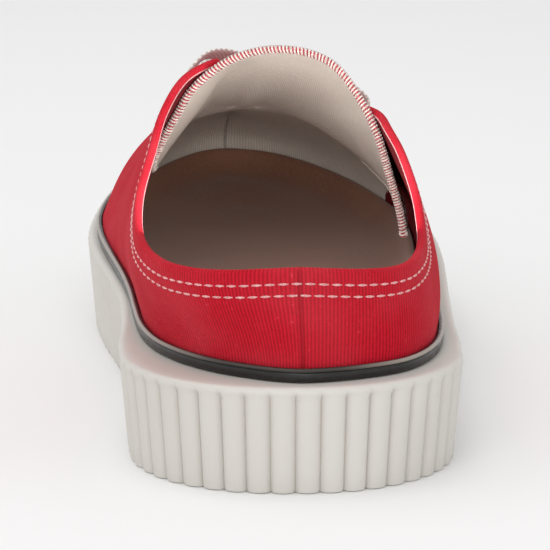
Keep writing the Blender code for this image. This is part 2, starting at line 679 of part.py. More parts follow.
def tongue_points(last, rows, columns):
    """Middle surface of the tongue: a row from medial foot over the crest to lateral foot."""
    inset = CANVAS_THICKNESS + TONGUE_GAP + TONGUE_THICKNESS / 2
    knots = np.linspace(0, 1, len(TONGUE_CREST["height"]))
    shares = np.linspace(0, 1, rows)
    line = {name: smooth(knots, column, shares) for name, column in TONGUE_CREST.items()}
    crest = place(line["across"], line["from_heel"], line["height"])
    grid = []
    for row, share in enumerate(shares):
        sides = []
        for side, name in ((-1, "medial"), (1, "lateral")):
            free, seam = TONGUE_SIDES[name + "_free"], TONGUE_SIDES[name + "_seam"]
            spots = [last.at_distance(number, side, depth)
                     for number, depth in zip(free + (seam - free) * share, TONGUE_SIDES["depth"])]
            off = TONGUE_SIDES["lateral_off"] * (1 - share) ** 2 * (side > 0)
            inner = [point - normal * (inset + away) for (point, normal), away in zip(spots, off)]
            if side > 0:
                swell = [line["lateral_spread"][row], 0, line["lateral_swell"][row]]
                brow = [line["shoulder_spread"][row], 0, line["shoulder_swell"][row]]
            else:
                swell = [0, 0, line["medial_swell"][row]]
                brow = [0, 0, line["medial_swell"][row] * 0.64]
            sides.append([crest[row] * 0.5 + inner[0] * 0.5 + swell,
                          crest[row] * 0.2 + inner[0] * 0.8 + brow] + inner)
        marks = np.array(sides[0][::-1] + [crest[row]] + sides[1])
        steps = np.linalg.norm(np.diff(marks, axis=0), axis=1)
        along = np.concatenate([[0], np.cumsum(steps)])
        grid.append(smooth(along, marks, np.linspace(0, along[-1], columns)))
    return np.array(grid)


def grid_normals(grid):
    along = np.gradient(grid, axis=0)
    across = np.gradient(grid, axis=1)
    normal = np.cross(across, along)
    return normal / np.linalg.norm(normal, axis=-1)[..., None]


def make_tongue(last):
    """Wide canvas sheet that hangs under the throat, with its free edge toward the heel."""
    middle = tongue_points(last, 9, 21)
    lift = grid_normals(middle) * TONGUE_THICKNESS / 2
    return sheet_body("tongue", "tongue_canvas", middle + lift, middle - lift)


def make_eyestay(last, side, name):
    """Facing along one side of the throat, laid on the canvas."""
    places = np.arange(THROAT_TOP * 2 + 1, THROAT_BASE * 2) / 2
    distances = np.array([0.0006, 0.0052, 0.0102, EYESTAY_WIDTH])
    low, high = [], []
    for number in places:
        spots = [last.at_distance(number, side, distance) for distance in distances]
        low.append([point + normal * CLEARANCE for point, normal in spots])
        high.append([point + normal * (CLEARANCE + EYESTAY_THICKNESS) for point, normal in spots])
    return sheet_body(name, "red_canvas", np.array(high), np.array(low))


def eyelet_places():
    return np.linspace(THROAT_TOP + 1.2, THROAT_BASE - 1.2, EYELET_COUNT)


def make_eyelet(last, number, side, name):
    """Flat ring on the eyestay."""
    spot, normal = last.at_distance(eyelet_places()[number], side, EYELET_FROM_EDGE)
    centre = Vector(spot + normal * (2 * CLEARANCE + EYESTAY_THICKNESS))
    turn = Vector((0, 0, 1)).rotation_difference(Vector(normal)).to_matrix().to_4x4()
    turn.translation = centre
    mesh = bmesh.new()
    angles = np.arange(EYELET_CORNERS) / EYELET_CORNERS * 2 * math.pi
    rings = []
    for radius, height in ((EYELET_RADIUS, 0), (EYELET_RADIUS, EYELET_HEIGHT),
                           (EYELET_HOLE, EYELET_HEIGHT), (EYELET_HOLE, 0)):
        points = [(radius * math.cos(angle), radius * math.sin(angle), height) for angle in angles]
        rings.append(add_ring(mesh, points))
    for low, high in zip(rings, rings[1:] + rings[:1]):
        join_rings(mesh, low, high)
    bmesh.ops.transform(mesh, matrix=turn, verts=mesh.verts)
    return finish(name, mesh, "eyelet_metal")


def lace_strap(last, medial_number, lateral_number, lift, name):
    """One strap of the lace from a medial eyelet over the throat to a lateral one."""
    places = eyelet_places()[[medial_number, lateral_number]]
    ends = [last.at_distance(place, side, EYELET_FROM_EDGE) for place, side in zip(places, (-1, 1))]
    start, end = [point + up * lift for point, up in ends]
    chord = end - start
    marks, tops = [start], [ends[0][1]]
    for side, place in zip((-1, 1), places):
        edge, up = last.at_distance(place, side, 0)
        share = np.dot(edge - start, chord) / np.dot(chord, chord)
        mark = start + share * chord
        mark[2] = edge[2] + up[2] * lift
        marks.append(mark)
        tops.append(up)
    marks.insert(2, (marks[1] + marks[2]) / 2 + [0, 0, LACE_ARCH])
    tops.insert(2, (tops[1] + tops[2]) / 2)
    marks.append(end)
    tops.append(ends[1][1])
    marks = np.array(marks)
    knots = np.concatenate([[0], np.cumsum(np.linalg.norm(np.diff(marks, axis=0), axis=1))])
    stops = np.linspace(0, knots[-1], 9)
    path = smooth(knots, marks, stops)
    top = smooth(knots, np.array(tops), stops)
    run = np.gradient(path, axis=0)
    wide = np.cross(run, top)
    wide = wide / np.linalg.norm(wide, axis=1)[:, None] * LACE_WIDTH / 2
    thick = np.cross(wide, run)
    thick = thick / np.linalg.norm(thick, axis=1)[:, None] * LACE_THICKNESS / 2
    above = np.stack([path - wide + thick, path + wide + thick], axis=1)
    below = np.stack([path - wide - thick, path + wide - thick], axis=1)
    return sheet_body(name, "white_cotton", above, below)


def make_lace(last):
    """Straps crossed over the throat, joined where they cross and at the eyelets."""
    lift = 2 * CLEARANCE + EYESTAY_THICKNESS + EYELET_HEIGHT + LACE_OVER_EYELETS + LACE_THICKNESS / 2
    front = EYELET_COUNT - 1
    straps = [lace_strap(last, front, front, lift, "lace")]
    for number in range(front):
        straps.append(lace_strap(last, number, number + 1, lift, "strap"))
        straps.append(lace_strap(last, number + 1, number, lift + 0.0003, "strap"))
    lace = straps[0]
    for strap in straps[1:]:
        strap.hide_render = True
        strap.display_type = "WIRE"
        join = lace.modifiers.new("join", "BOOLEAN")
        join.operation = "UNION"
        join.solver = "EXACT"
        join.object = strap
    return lace


def main():
    for thing in list(bpy.data.objects):
        bpy.data.objects.remove(thing, do_unlink=True)
    last = Last()
    make_outsole()
    make_sidewall()
    make_band(last)
    make_insole(last)
    make_upper(last)
    make_tongue(last)
    make_eyestay(last, -1, "eyestay_medial")
    make_eyestay(last, 1, "eyestay_lateral")
    for number in range(EYELET_COUNT):
        make_eyelet(last, number, -1, f"eyelet_medial_{number + 1}")
        make_eyelet(last, number, 1, f"eyelet_lateral_{number + 1}")
    make_lace(last)


main()
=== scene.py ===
"""A canvas sneaker mule for the right foot: its finished pieces, the floor, the light and the camera."""
import math

import bpy
import numpy as np
from mathutils import Matrix, Vector


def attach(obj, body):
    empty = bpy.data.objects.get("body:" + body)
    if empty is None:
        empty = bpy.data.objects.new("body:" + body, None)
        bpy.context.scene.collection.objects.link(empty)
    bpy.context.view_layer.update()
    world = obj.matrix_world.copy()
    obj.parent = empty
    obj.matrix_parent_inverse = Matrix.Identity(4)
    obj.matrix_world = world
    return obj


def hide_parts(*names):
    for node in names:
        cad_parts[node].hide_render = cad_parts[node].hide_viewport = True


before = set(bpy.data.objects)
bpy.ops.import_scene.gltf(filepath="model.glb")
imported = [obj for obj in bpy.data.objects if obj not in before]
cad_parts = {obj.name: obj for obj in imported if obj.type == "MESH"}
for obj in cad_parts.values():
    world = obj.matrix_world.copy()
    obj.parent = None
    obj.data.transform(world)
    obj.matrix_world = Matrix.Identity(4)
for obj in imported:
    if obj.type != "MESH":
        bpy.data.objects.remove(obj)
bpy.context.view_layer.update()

# Driving sizes, in metres
LENGTH = 0.270
MIDDLE_ACROSS = -0.0036    # centre of the sole's width, from the heel's centre line
CLEARANCE = 0.0003

# Side wall of the sole
RIB_COUNT = 104
RIB_DEPTH = 0.0018
RIB_HEAD_INSET = 0.0004    # how far the ribs' heads stand back from the lip
WALL_DRAFT = 0.0022        # the wall leans out by this much from the floor to the lip
LIP_ROUNDING = 0.0017
POCKET_DEPTH = 0.0070
POCKET_INSET = 0.0036      # from the outside of the foxing band

# Tread
TREAD_DEPTH = 0.0034
TREAD_INSET = 0.0062       # from the lip's outline

# Foxing band, upper and insole
BAND_THICKNESS = 0.0012
BAND_HEIGHT = 0.0030
CANVAS_THICKNESS = 0.0022
UPPER_INSET = BAND_THICKNESS + CLEARANCE
INSOLE_INSET = CANVAS_THICKNESS + 0.0005    # from the outside of the canvas
INSOLE_THICKNESS = 0.0045
INSOLE_RIM = 0.0054        # height of the rim over the footbed
INSOLE_CURVE = (           # inset and height of the rim's inner side, as a part of the rim's height
    (0.0000, 1.00),
    (0.0014, 1.00),
    (0.0034, 0.45),
    (0.0062, 0.12),
    (0.0095, 0.00))

# Throat and lacing
EYESTAY_THICKNESS = 0.0008
EYESTAY_WIDTH = 0.0150
EYELET_COUNT = 4
EYELET_FROM_EDGE = 0.0075
EYELET_HEIGHT = 0.0005
LACE_WIDTH = 0.0062
LACE_THICKNESS = 0.0011
LACE_OVER_EYELETS = 0.0006
LACE_ARCH = 0.0026         # rise of a strap over the middle of the throat
TONGUE_THICKNESS = 0.0016
TONGUE_GAP = 0.0005        # between the tongue and the inside of the canvas


def table(names, *rows):
    """Table with named columns, each column an array."""
    return dict(zip(names.split(), np.array(rows).T))


# Outline of the sole at its lip
SOLE_OUTLINE = table(
    "from_heel medial lateral",
    (0.000, 0.0000, 0.0000),
    (0.003, -0.0170, 0.0170),
    (0.013, -0.0310, 0.0310),
    (0.028, -0.0390, 0.0395),
    (0.046, -0.0411, 0.0413),
    (0.074, -0.0409, 0.0418),
    (0.102, -0.0418, 0.0428),
    (0.130, -0.0452, 0.0440),
    (0.158, -0.0496, 0.0450),
    (0.186, -0.0522, 0.0444),
    (0.214, -0.0505, 0.0402),
    (0.238, -0.0455, 0.0315),
    (0.256, -0.0370, 0.0178),
    (0.267, -0.0258, 0.0010),
    (0.270, -0.0135, -0.0135))

# Heights of the sole's underside and of its lip
SOLE_HEIGHTS = table(
    "from_heel underside lip",
    (0.000, 0.0000, 0.0255),
    (0.060, 0.0000, 0.0252),
    (0.120, 0.0000, 0.0250),
    (0.180, 0.0000, 0.0256),
    (0.205, 0.0002, 0.0268),
    (0.230, 0.0026, 0.0294),
    (0.250, 0.0062, 0.0322),
    (0.270, 0.0112, 0.0356))

# Shape of the last: where its foot meets the foxing band's outside, one row for each section from
# the back of the heel to the toe
LAST_FOOT = table(
    "from_heel medial lateral",
    (0.0044, 0.0018, 0.0018),
    (0.0060, -0.0045, 0.0095),
    (0.0090, -0.0098, 0.0166),
    (0.0140, -0.0165, 0.0242),
    (0.0200, -0.0222, 0.0290),
    (0.0285, -0.0278, 0.0329),
    (0.0400, -0.0327, 0.0358),
    (0.0560, -0.0361, 0.0375),
    (0.0760, -0.0379, 0.0382),
    (0.0960, -0.0393, 0.0386),
    (0.1160, -0.0413, 0.0392),
    (0.1360, -0.0440, 0.0402),
    (0.1550, -0.0466, 0.0411),
    (0.1680, -0.0482, 0.0413),
    (0.1800, -0.0492, 0.0411),
    (0.1910, -0.0495, 0.0404),
    (0.2010, -0.0490, 0.0390),
    (0.2090, -0.0481, 0.0368),
    (0.2170, -0.0466, 0.0342),
    (0.2320, -0.0423, 0.0275),
    (0.2450, -0.0365, 0.0192),
    (0.2550, -0.0298, 0.0102),
    (0.2620, -0.0222, 0.0000),
    (0.2650, -0.0125, -0.0125))

# Top edge of the canvas over each of those sections: the collar, then both sides of the throat
COLLAR_AND_THROAT = table(
    "from_heel medial medial_height lateral lateral_height",
    (0.0058, 0.0010, 0.0512, 0.0010, 0.0512),
    (0.0070, -0.0070, 0.0507, 0.0090, 0.0507),
    (0.0093, -0.0135, 0.0500, 0.0158, 0.0501),
    (0.0138, -0.0205, 0.0493, 0.0223, 0.0496),
    (0.0198, -0.0263, 0.0489, 0.0270, 0.0496),
    (0.0280, -0.0312, 0.0489, 0.0300, 0.0502),
    (0.0390, -0.0352, 0.0500, 0.0318, 0.0509),
    (0.0530, -0.0372, 0.0522, 0.0327, 0.0524),
    (0.0710, -0.0370, 0.0576, 0.0324, 0.0576),
    (0.0880, -0.0342, 0.0652, 0.0300, 0.0646),
    (0.1030, -0.0312, 0.0730, 0.0276, 0.0683),
    (0.1165, -0.0258, 0.0797, 0.0262, 0.0697),
    (0.1260, -0.0176, 0.0828, 0.0234, 0.0702),
    (0.1380, -0.0180, 0.0788, 0.0186, 0.0700),
    (0.1500, -0.0182, 0.0751, 0.0138, 0.0693),
    (0.1630, -0.0182, 0.0715, 0.0088, 0.0681),
    (0.1745, -0.0172, 0.0686, 0.0034, 0.0670),
    (0.1805, -0.0140, 0.0672, -0.0016, 0.0665),
    (0.1825, -0.0080, 0.0662, -0.0080, 0.0662))

# Crest of the vamp over the remaining sections, from the front end of the throat to the toe
CREST = table(
    "across from_heel height",
    (-0.0080, 0.1825, 0.0662),
    (-0.0092, 0.1950, 0.0632),
    (-0.0101, 0.2050, 0.0607),
    (-0.0108, 0.2130, 0.0586),
    (-0.0114, 0.2190, 0.0570),
    (-0.0117, 0.2220, 0.0562))

# How each section leaves its foot and its top edge. Flare is the outward lean at the foot and dip
# the outward fall at the edge, in degrees; a pull is how far the canvas keeps that lean.
LEANS = table(
    "medial_flare lateral_flare dip foot_pull edge_pull",
    (5, 5, 86, 0.0075, 0.0070),
    (5, 5, 86, 0.0075, 0.0070),
    (5, 5, 86, 0.0075, 0.0070),
    (6, 6, 86, 0.0075, 0.0070),
    (7, 7, 86, 0.0075, 0.0070),
    (8, 8, 85, 0.0075, 0.0070),
    (9, 10, 84, 0.0080, 0.0070),
    (12, 14, 83, 0.0095, 0.0080),
    (17, 16, 80, 0.0120, 0.0100),
    (20, 13, 74, 0.0150, 0.0120),
    (18, 7, 66, 0.0180, 0.0150),
    (8, 4, 57, 0.0190, 0.0170),
    (-4, 2, 50, 0.0180, 0.0180),
    (-13, 0, 46, 0.0150, 0.0190),
    (-18, -1, 41, 0.0140, 0.0195),
    (-20, -2, 36, 0.0130, 0.0200),
    (-20, -2, 28, 0.0130, 0.0210),
    (-16, -2, 19, 0.0135, 0.0230),
    (-12, -2, 8, 0.0130, 0.0240),
    (-8, 0, 8, 0.0125, 0.0240),
    (-4, 2, 9, 0.0115, 0.0225),
    (0, 3, 10, 0.0105, 0.0220),
    (2, 4, 12, 0.0095, 0.0220),
    (4, 4, 13, 0.0092, 0.0225))
THROAT_TOP = 12                              # section at the top corners of the throat
THROAT_BASE = len(COLLAR_AND_THROAT["from_heel"]) - 1
TOE = len(LAST_FOOT["from_heel"]) - 1

# Crest of the tongue, from its free edge to its seam under the vamp. A swell is how far the tongue
# rises above a straight line to either side, halfway down and at its lateral shoulder, and a
# spread is how far it bulges outward there.
TONGUE_CREST = table(
    "across from_heel height medial_swell lateral_spread lateral_swell shoulder_spread shoulder_swell",
    (-0.0050, 0.1180, 0.0865, 0.0022, 0.0030, 0.0072, 0.0020, 0.0036),
    (-0.0054, 0.1350, 0.0782, 0.0009, 0.0010, 0.0032, 0.0016, 0.0016),
    (-0.0062, 0.1530, 0.0708, 0.0004, 0.0002, 0.0014, 0.0004, 0.0008),
    (-0.0080, 0.1740, 0.0645, 0.0002, 0.0000, 0.0006, 0.0000, 0.0004),
    (-0.0092, 0.1950, 0.0597, 0.0000, 0.0000, 0.0000, 0.0000, 0.0000))
# Sides of the tongue, which lie along the inside of the canvas: at each depth below the throat's
# edge, the sections where its free edge and its seam are, and how far the lateral free edge hangs
# off the canvas
TONGUE_SIDES = table(
    "depth medial_free medial_seam lateral_free lateral_seam lateral_off",
    (0.003, 11.10, 19.0, 10.9, 19.0, 0.0000),
    (0.010, 10.95, 18.7, 10.8, 18.7, 0.0006),
    (0.018, 10.90, 18.2, 10.8, 18.2, 0.0018),
    (0.026, 11.00, 17.6, 10.8, 17.6, 0.0026),
    (0.034, 11.40, 17.0, 10.8, 17.1, 0.0028),
    (0.041, 11.90, 16.4, 10.8, 16.6, 0.0026))


def place(across, forward, height):
    """Point of the model from distances off the heel's centre line, the heel's back and the floor."""
    return np.stack(np.broadcast_arrays(across - MIDDLE_ACROSS, forward - LENGTH / 2, height), axis=-1)


def smooth(knots, rows, places):
    """Smooth curve through one row of values at each knot, read at places."""
    knots = np.asarray(knots, dtype=float)
    rows = np.asarray(rows, dtype=float)
    places = np.asarray(places, dtype=float)
    slopes = np.gradient(rows, knots, axis=0)
    left = np.clip(np.searchsorted(knots, places, side="right") - 1, 0, len(knots) - 2)
    span = knots[left + 1] - knots[left]
    part = (places - knots[left]) / span
    if rows.ndim > 1:
        span = span[:, None]
        part = part[:, None]
    back = (1 - part) ** 2
    ahead = part ** 2
    return (back * ((1 + 2 * part) * rows[left] + part * span * slopes[left])
            + ahead * ((3 - 2 * part) * rows[left + 1] + (part - 1) * span * slopes[left + 1]))


def smooth_loop(knots, rows, places):
    """Smooth closed curve. The last knot stands for the first row again."""
    reach = 3
    period = knots[-1] - knots[0]
    knots = np.concatenate([knots[-1 - reach:-1] - period, knots, knots[1:1 + reach] + period])
    rows = np.concatenate([rows[-reach:], rows, rows[:reach + 1]])
    return smooth(knots, rows, places)


def both_sides(rows, lateral, medial):
    """Rows round the foot: up the lateral side from heel to toe, then back down the medial side."""
    up = np.column_stack([rows[name] for name in lateral.split()])
    down = np.column_stack([rows[name] for name in medial.split()])
    return np.concatenate([up, down[-2:0:-1]])


def plan_loop(rows, count):
    """Closed outline in plan from a table, as evenly spaced points that start at the heel's back.

    Count is a number of points, or the parts of the way round where they are wanted.
    """
    corners = both_sides(rows, "lateral from_heel", "medial from_heel")
    closed = np.concatenate([corners, corners[:1]])
    knots = np.concatenate([[0], np.cumsum(np.linalg.norm(np.diff(closed, axis=0), axis=1))])
    fine = smooth_loop(knots, corners, np.linspace(0, knots[-1], 2001))
    along = np.concatenate([[0], np.cumsum(np.linalg.norm(np.diff(fine, axis=0), axis=1))])
    wanted = np.asarray(count) * along[-1] if np.ndim(count) else np.arange(count) / count * along[-1]
    return np.column_stack([np.interp(wanted, along, fine[:, axis]) for axis in (0, 1)])


def outward(plan):
    """Unit vectors that point out of a closed outline."""
    run = unit(np.roll(plan, -1, axis=0) - np.roll(plan, 1, axis=0))
    return np.column_stack([run[:, 1], -run[:, 0]])


def ring(plan, inset, level, rise):
    """Closed row of points inside an outline, raised from the level of the floor side or the lip."""
    inner = plan - outward(plan) * np.reshape(inset, (-1, 1))
    return place(inner[:, 0], inner[:, 1], level(inner) + rise)


def floor_height(plan):
    rise = smooth(SOLE_HEIGHTS["from_heel"], SOLE_HEIGHTS["underside"], np.clip(plan[:, 1], 0, LENGTH))
    return np.maximum(rise, 0)


def lip_height(plan):
    return smooth(SOLE_HEIGHTS["from_heel"], SOLE_HEIGHTS["lip"], np.clip(plan[:, 1], 0, LENGTH))


class Last:
    """The outer surface of the canvas, read by section place and by height up the section.

    A place counts sections: 0 is the back of the heel, and the toe is the last one. Side is 1 for
    lateral and -1 for medial.
    """

    def __init__(self):
        self.foot_rows = both_sides(LAST_FOOT, "lateral from_heel", "medial from_heel")
        self.foot_knots = np.arange(2 * TOE + 1.0)
        self.rim_rows = both_sides(COLLAR_AND_THROAT, "lateral from_heel lateral_height",
                                   "medial from_heel medial_height")
        self.rim_knots = np.arange(2 * THROAT_BASE + 1.0)
        self.crest = np.column_stack(list(CREST.values()))

    def foot(self, places, side):
        """Foot of the canvas in plan, and the outward direction there."""
        places = np.asarray(places, dtype=float)
        round_foot = places if side > 0 else 2 * TOE - places
        step = 0.02
        points = smooth_loop(self.foot_knots, self.foot_rows, round_foot % (2 * TOE))
        ahead = smooth_loop(self.foot_knots, self.foot_rows, (round_foot + step) % (2 * TOE))
        behind = smooth_loop(self.foot_knots, self.foot_rows, (round_foot - step) % (2 * TOE))
        run = unit(ahead - behind)
        out = np.column_stack([run[:, 1], -run[:, 0]])
        return points - out * UPPER_INSET, out

    def foot_ring(self, step, inset, rise):
        """Closed row of points round the foot of the canvas, inside it and raised from the lip."""
        columns = np.arange(0, TOE + step / 2, step)
        lateral, lateral_out = self.foot(columns, 1)
        medial, medial_out = self.foot(columns, -1)
        plan = np.concatenate([lateral, medial[-2:0:-1]])
        plan = plan - np.concatenate([lateral_out, medial_out[-2:0:-1]]) * inset
        return place(plan[:, 0], plan[:, 1], lip_height(plan) + rise)

    def edge(self, places, side):
        """Top edge: collar and throat, then the crest of the vamp. Columns: across, forward, height."""
        places = np.asarray(places, dtype=float)
        round_rim = places if side > 0 else 2 * THROAT_BASE - places
        rim = smooth_loop(self.rim_knots, self.rim_rows, round_rim % (2 * THROAT_BASE))
        ahead = np.clip(places - THROAT_BASE, 0, TOE - THROAT_BASE)
        crest = smooth(np.arange(len(self.crest)), self.crest, ahead)
        return np.where((places >= THROAT_BASE)[:, None], crest, rim)

    def crest_slope(self, places):
        """How fast the crest falls, as height for each length forward."""
        ahead = np.clip(np.asarray(places, dtype=float) - THROAT_BASE, 0.05, TOE - THROAT_BASE - 0.05)
        step = 0.04
        low = smooth(np.arange(len(self.crest)), self.crest, ahead - step)
        high = smooth(np.arange(len(self.crest)), self.crest, ahead + step)
        return (high[:, 2] - low[:, 2]) / (high[:, 1] - low[:, 1])

    def points(self, places, side, climbs):
        """Grid of points: one row for each place, one column for each climb from foot 0 to edge 1."""
        places = np.asarray(places, dtype=float)
        foot_plan, out = self.foot(places, side)
        edge = self.edge(places, side)
        sections = np.arange(TOE + 1)
        lean = {name: smooth(sections, column, places)[:, None] for name, column in LEANS.items()}
        flare = np.radians(lean["lateral_flare" if side > 0 else "medial_flare"])
        dip = np.radians(lean["dip"])
        start = np.column_stack([foot_plan, lip_height(foot_plan) + CLEARANCE * 2 + BAND_HEIGHT])
        gap = foot_plan - edge[:, :2]
        reach = np.linalg.norm(gap, axis=1)[:, None]
        weight = np.clip((reach - 0.004) / 0.008, 0, 1)
        away = out * (1 - weight) + gap / np.maximum(reach, 1e-6) * weight
        away = unit(away)
        up = np.array([0.0, 0.0, 1.0])
        foot_turn = np.column_stack([out, np.zeros(len(out))]) * np.sin(flare) + up * np.cos(flare)
        flat = np.column_stack([away, np.zeros(len(away))])
        fall = flat * np.cos(dip) - up * np.sin(dip)
        crest_fall = unit(np.column_stack([away, self.crest_slope(places) * away[:, 1]]))
        fall = np.where((places >= THROAT_BASE)[:, None], crest_fall, fall)
        first = start + foot_turn * lean["foot_pull"]
        second = edge + fall * lean["edge_pull"]
        climbs = np.asarray(climbs, dtype=float)[None, :, None]
        down = 1 - climbs
        curve = (down ** 3 * start[:, None] + 3 * down ** 2 * climbs * first[:, None]
                 + 3 * down * climbs ** 2 * second[:, None] + climbs ** 3 * edge[:, None])
        return place(curve[..., 0], curve[..., 1], curve[..., 2])

    def normals(self, places, side, climbs):
        """Outward unit vectors at the same grid of points."""
        places = np.asarray(places, dtype=float)
        climbs = np.asarray(climbs, dtype=float)
        step = 0.02
        ahead = self.points(places + step, side, np.clip(climbs, 0.02, 0.96))
        behind = self.points(places - step, side, np.clip(climbs, 0.02, 0.96))
        higher = self.points(places, side, np.clip(climbs + step, 0.04, 0.98))
        lower = self.points(places, side, np.clip(climbs - step, 0.00, 0.94))
        return unit(np.cross(ahead - behind, higher - lower) * side)

    def at_distance(self, place_number, side, distance):
        """Point and normal at a distance down the section from its edge."""
        climbs = np.linspace(1, 0, 201)
        run = self.points([place_number], side, climbs)[0]
        along = np.concatenate([[0], np.cumsum(np.linalg.norm(np.diff(run, axis=0), axis=1))])
        climb = float(np.interp(distance, along, climbs))
        point = self.points([place_number], side, [climb])[0, 0]
        return point, self.normals([place_number], side, [climb])[0, 0]


def tongue_points(last, rows, columns):
    """Middle surface of the tongue: a row from medial foot over the crest to lateral foot."""
    inset = CANVAS_THICKNESS + TONGUE_GAP + TONGUE_THICKNESS / 2
    knots = np.linspace(0, 1, len(TONGUE_CREST["height"]))
    shares = np.linspace(0, 1, rows)
    line = {name: smooth(knots, column, shares) for name, column in TONGUE_CREST.items()}
    crest = place(line["across"], line["from_heel"], line["height"])
    grid = []
    for row, share in enumerate(shares):
        sides = []
        for side, name in ((-1, "medial"), (1, "lateral")):
            free, seam = TONGUE_SIDES[name + "_free"], TONGUE_SIDES[name + "_seam"]
            spots = [last.at_distance(number, side, depth)
                     for number, depth in zip(free + (seam - free) * share, TONGUE_SIDES["depth"])]
            off = TONGUE_SIDES["lateral_off"] * (1 - share) ** 2 * (side > 0)
            inner = [point - normal * (inset + away) for (point, normal), away in zip(spots, off)]
            if side > 0:
                swell = [line["lateral_spread"][row], 0, line["lateral_swell"][row]]
                brow = [line["shoulder_spread"][row], 0, line["shoulder_swell"][row]]
            else:
                swell = [0, 0, line["medial_swell"][row]]
                brow = [0, 0, line["medial_swell"][row] * 0.64]
            sides.append([crest[row] * 0.5 + inner[0] * 0.5 + swell,
                          crest[row] * 0.2 + inner[0] * 0.8 + brow] + inner)
        marks = np.array(sides[0][::-1] + [crest[row]] + sides[1])
        steps = np.linalg.norm(np.diff(marks, axis=0), axis=1)
        along = np.concatenate([[0], np.cumsum(steps)])
        grid.append(smooth(along, marks, np.linspace(0, along[-1], columns)))
    return np.array(grid)


def unit(vectors):
    """Vectors made one long."""
    return vectors / np.linalg.norm(vectors, axis=-1)[..., None]


def eased(share):
    """Smooth start and end for a share from 0 to 1."""
    return share * share * (3 - 2 * share)


def blend(first, last, shares):
    """Rows between two rows of points."""
    return [first * (1 - share) + last * share for share in shares]


def read_along(wanted, along, points):
    """Points read at distances along a line."""
    return np.column_stack([np.interp(wanted, along, points[:, axis]) for axis in range(3)])


def eyelet_places():
    return np.linspace(THROAT_TOP + 1.2, THROAT_BASE - 1.2, EYELET_COUNT)


# ---- Making pieces ----

def deselect():
    if bpy.context.object and bpy.context.object.mode != "OBJECT":
        bpy.ops.object.mode_set(mode="OBJECT")
    bpy.ops.object.select_all(action="DESELECT")


def pick(piece):
    deselect()
    piece.select_set(True)
    bpy.context.view_layer.objects.active = piece


def edit(piece, *steps):
    """Runs edit mode operators on the whole piece, each with its settings."""
    pick(piece)
    bpy.ops.object.mode_set(mode="EDIT")
    bpy.ops.mesh.select_all(action="SELECT")
    for operator, settings in steps:
        operator(**settings)
    bpy.ops.object.mode_set(mode="OBJECT")


MERGE = (bpy.ops.mesh.remove_doubles, {"threshold": 0.000012})
FACE_OUT = (bpy.ops.mesh.normals_make_consistent, {"inside": False})


def close_holes(piece, how=bpy.ops.mesh.fill):
    """Closes a piece's open edges."""
    edit(piece, (bpy.ops.mesh.select_all, {"action": "DESELECT"}),
         (bpy.ops.mesh.select_non_manifold, {}), (how, {}))
    edit(piece, FACE_OUT)


def laid_grid(name, points, map_points=None):
    """A grid primitive laid over rows of points. Its UV map holds metres along and across."""
    rows, columns = points.shape[:2]
    deselect()
    bpy.ops.mesh.primitive_grid_add(x_subdivisions=columns - 1, y_subdivisions=rows - 1, size=1)
    piece = bpy.context.object
    piece.name = name
    mesh = piece.data
    mesh.vertices.foreach_set("co", np.ascontiguousarray(points, dtype=np.float32).ravel())
    if map_points is not None:
        layer = mesh.uv_layers.active
        spots = np.empty(len(mesh.loops), dtype=np.int32)
        mesh.loops.foreach_get("vertex_index", spots)
        flat = np.asarray(map_points, dtype=np.float32).reshape(-1, 2)[spots]
        layer.data.foreach_set("uv", flat.ravel())
    mesh.update()
    return piece


def deselect_parts(mesh):
    for parts in (mesh.vertices, mesh.edges, mesh.polygons):
        parts.foreach_set("select", np.zeros(len(parts), dtype=bool))


def lengths(points, axis=0):
    """Running length along one axis of a grid of points."""
    steps = np.linalg.norm(np.diff(points, axis=axis), axis=-1)
    first = np.zeros_like(np.take(steps, [0], axis=axis))
    return np.concatenate([first, np.cumsum(steps, axis=axis)], axis=axis)


def closed(points):
    """The same rows with the first one again at the end."""
    return np.concatenate([points, points[:1]])


def smooth_faces(piece, degrees=50):
    pick(piece)
    bpy.ops.object.shade_smooth_by_angle(angle=math.radians(degrees))


def done(piece, slot, *nodes):
    """Rides the finished piece on the shoe and hides the CAD parts it takes the place of."""
    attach(piece, "root")
    if nodes:
        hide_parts(*nodes)
    return piece


def joined(name, pieces):
    deselect()
    for piece in pieces:
        piece.select_set(True)
    bpy.context.view_layer.objects.active = pieces[0]
    bpy.ops.object.join()
    pieces[0].name = name
    return pieces[0]


def copies(name, model, frames):
    """Copies of a small model at each frame, joined into one piece."""
    made = []
    for turn in frames:
        copy = model.copy()
        copy.data = model.data.copy()
        copy.data.transform(turn)
        bpy.context.collection.objects.link(copy)
        made.append(copy)
    bpy.data.objects.remove(model, do_unlink=True)
    return joined(name, made)


def turned(centre, along, up):
    """Frame at a point with X along and Z up."""
    x = Vector(along).normalized()
    y = Vector(up).cross(x).normalized()
    z = x.cross(y)
    turn = Matrix((x, y, z)).transposed().to_4x4()
    turn.translation = Vector(centre)
    return turn


# ---- Finishes ----

class Wire:
    """Output of a shader node. Arithmetic on it adds Math nodes."""

    def __init__(self, finish, socket):
        self.finish = finish
        self.socket = socket

    def math(self, operation, *others, swap=False):
        values = [self, *others]
        if swap:
            values.reverse()
        return self.finish.add("Math", {"operation": operation}, dict(enumerate(values)))

    def __add__(self, other):
        return self.math("ADD", other)

    def __sub__(self, other):
        return self.math("SUBTRACT", other)

    def __rsub__(self, other):
        return self.math("SUBTRACT", other, swap=True)

    def __mul__(self, other):
        return self.math("MULTIPLY", other)

    __radd__ = __add__
    __rmul__ = __mul__


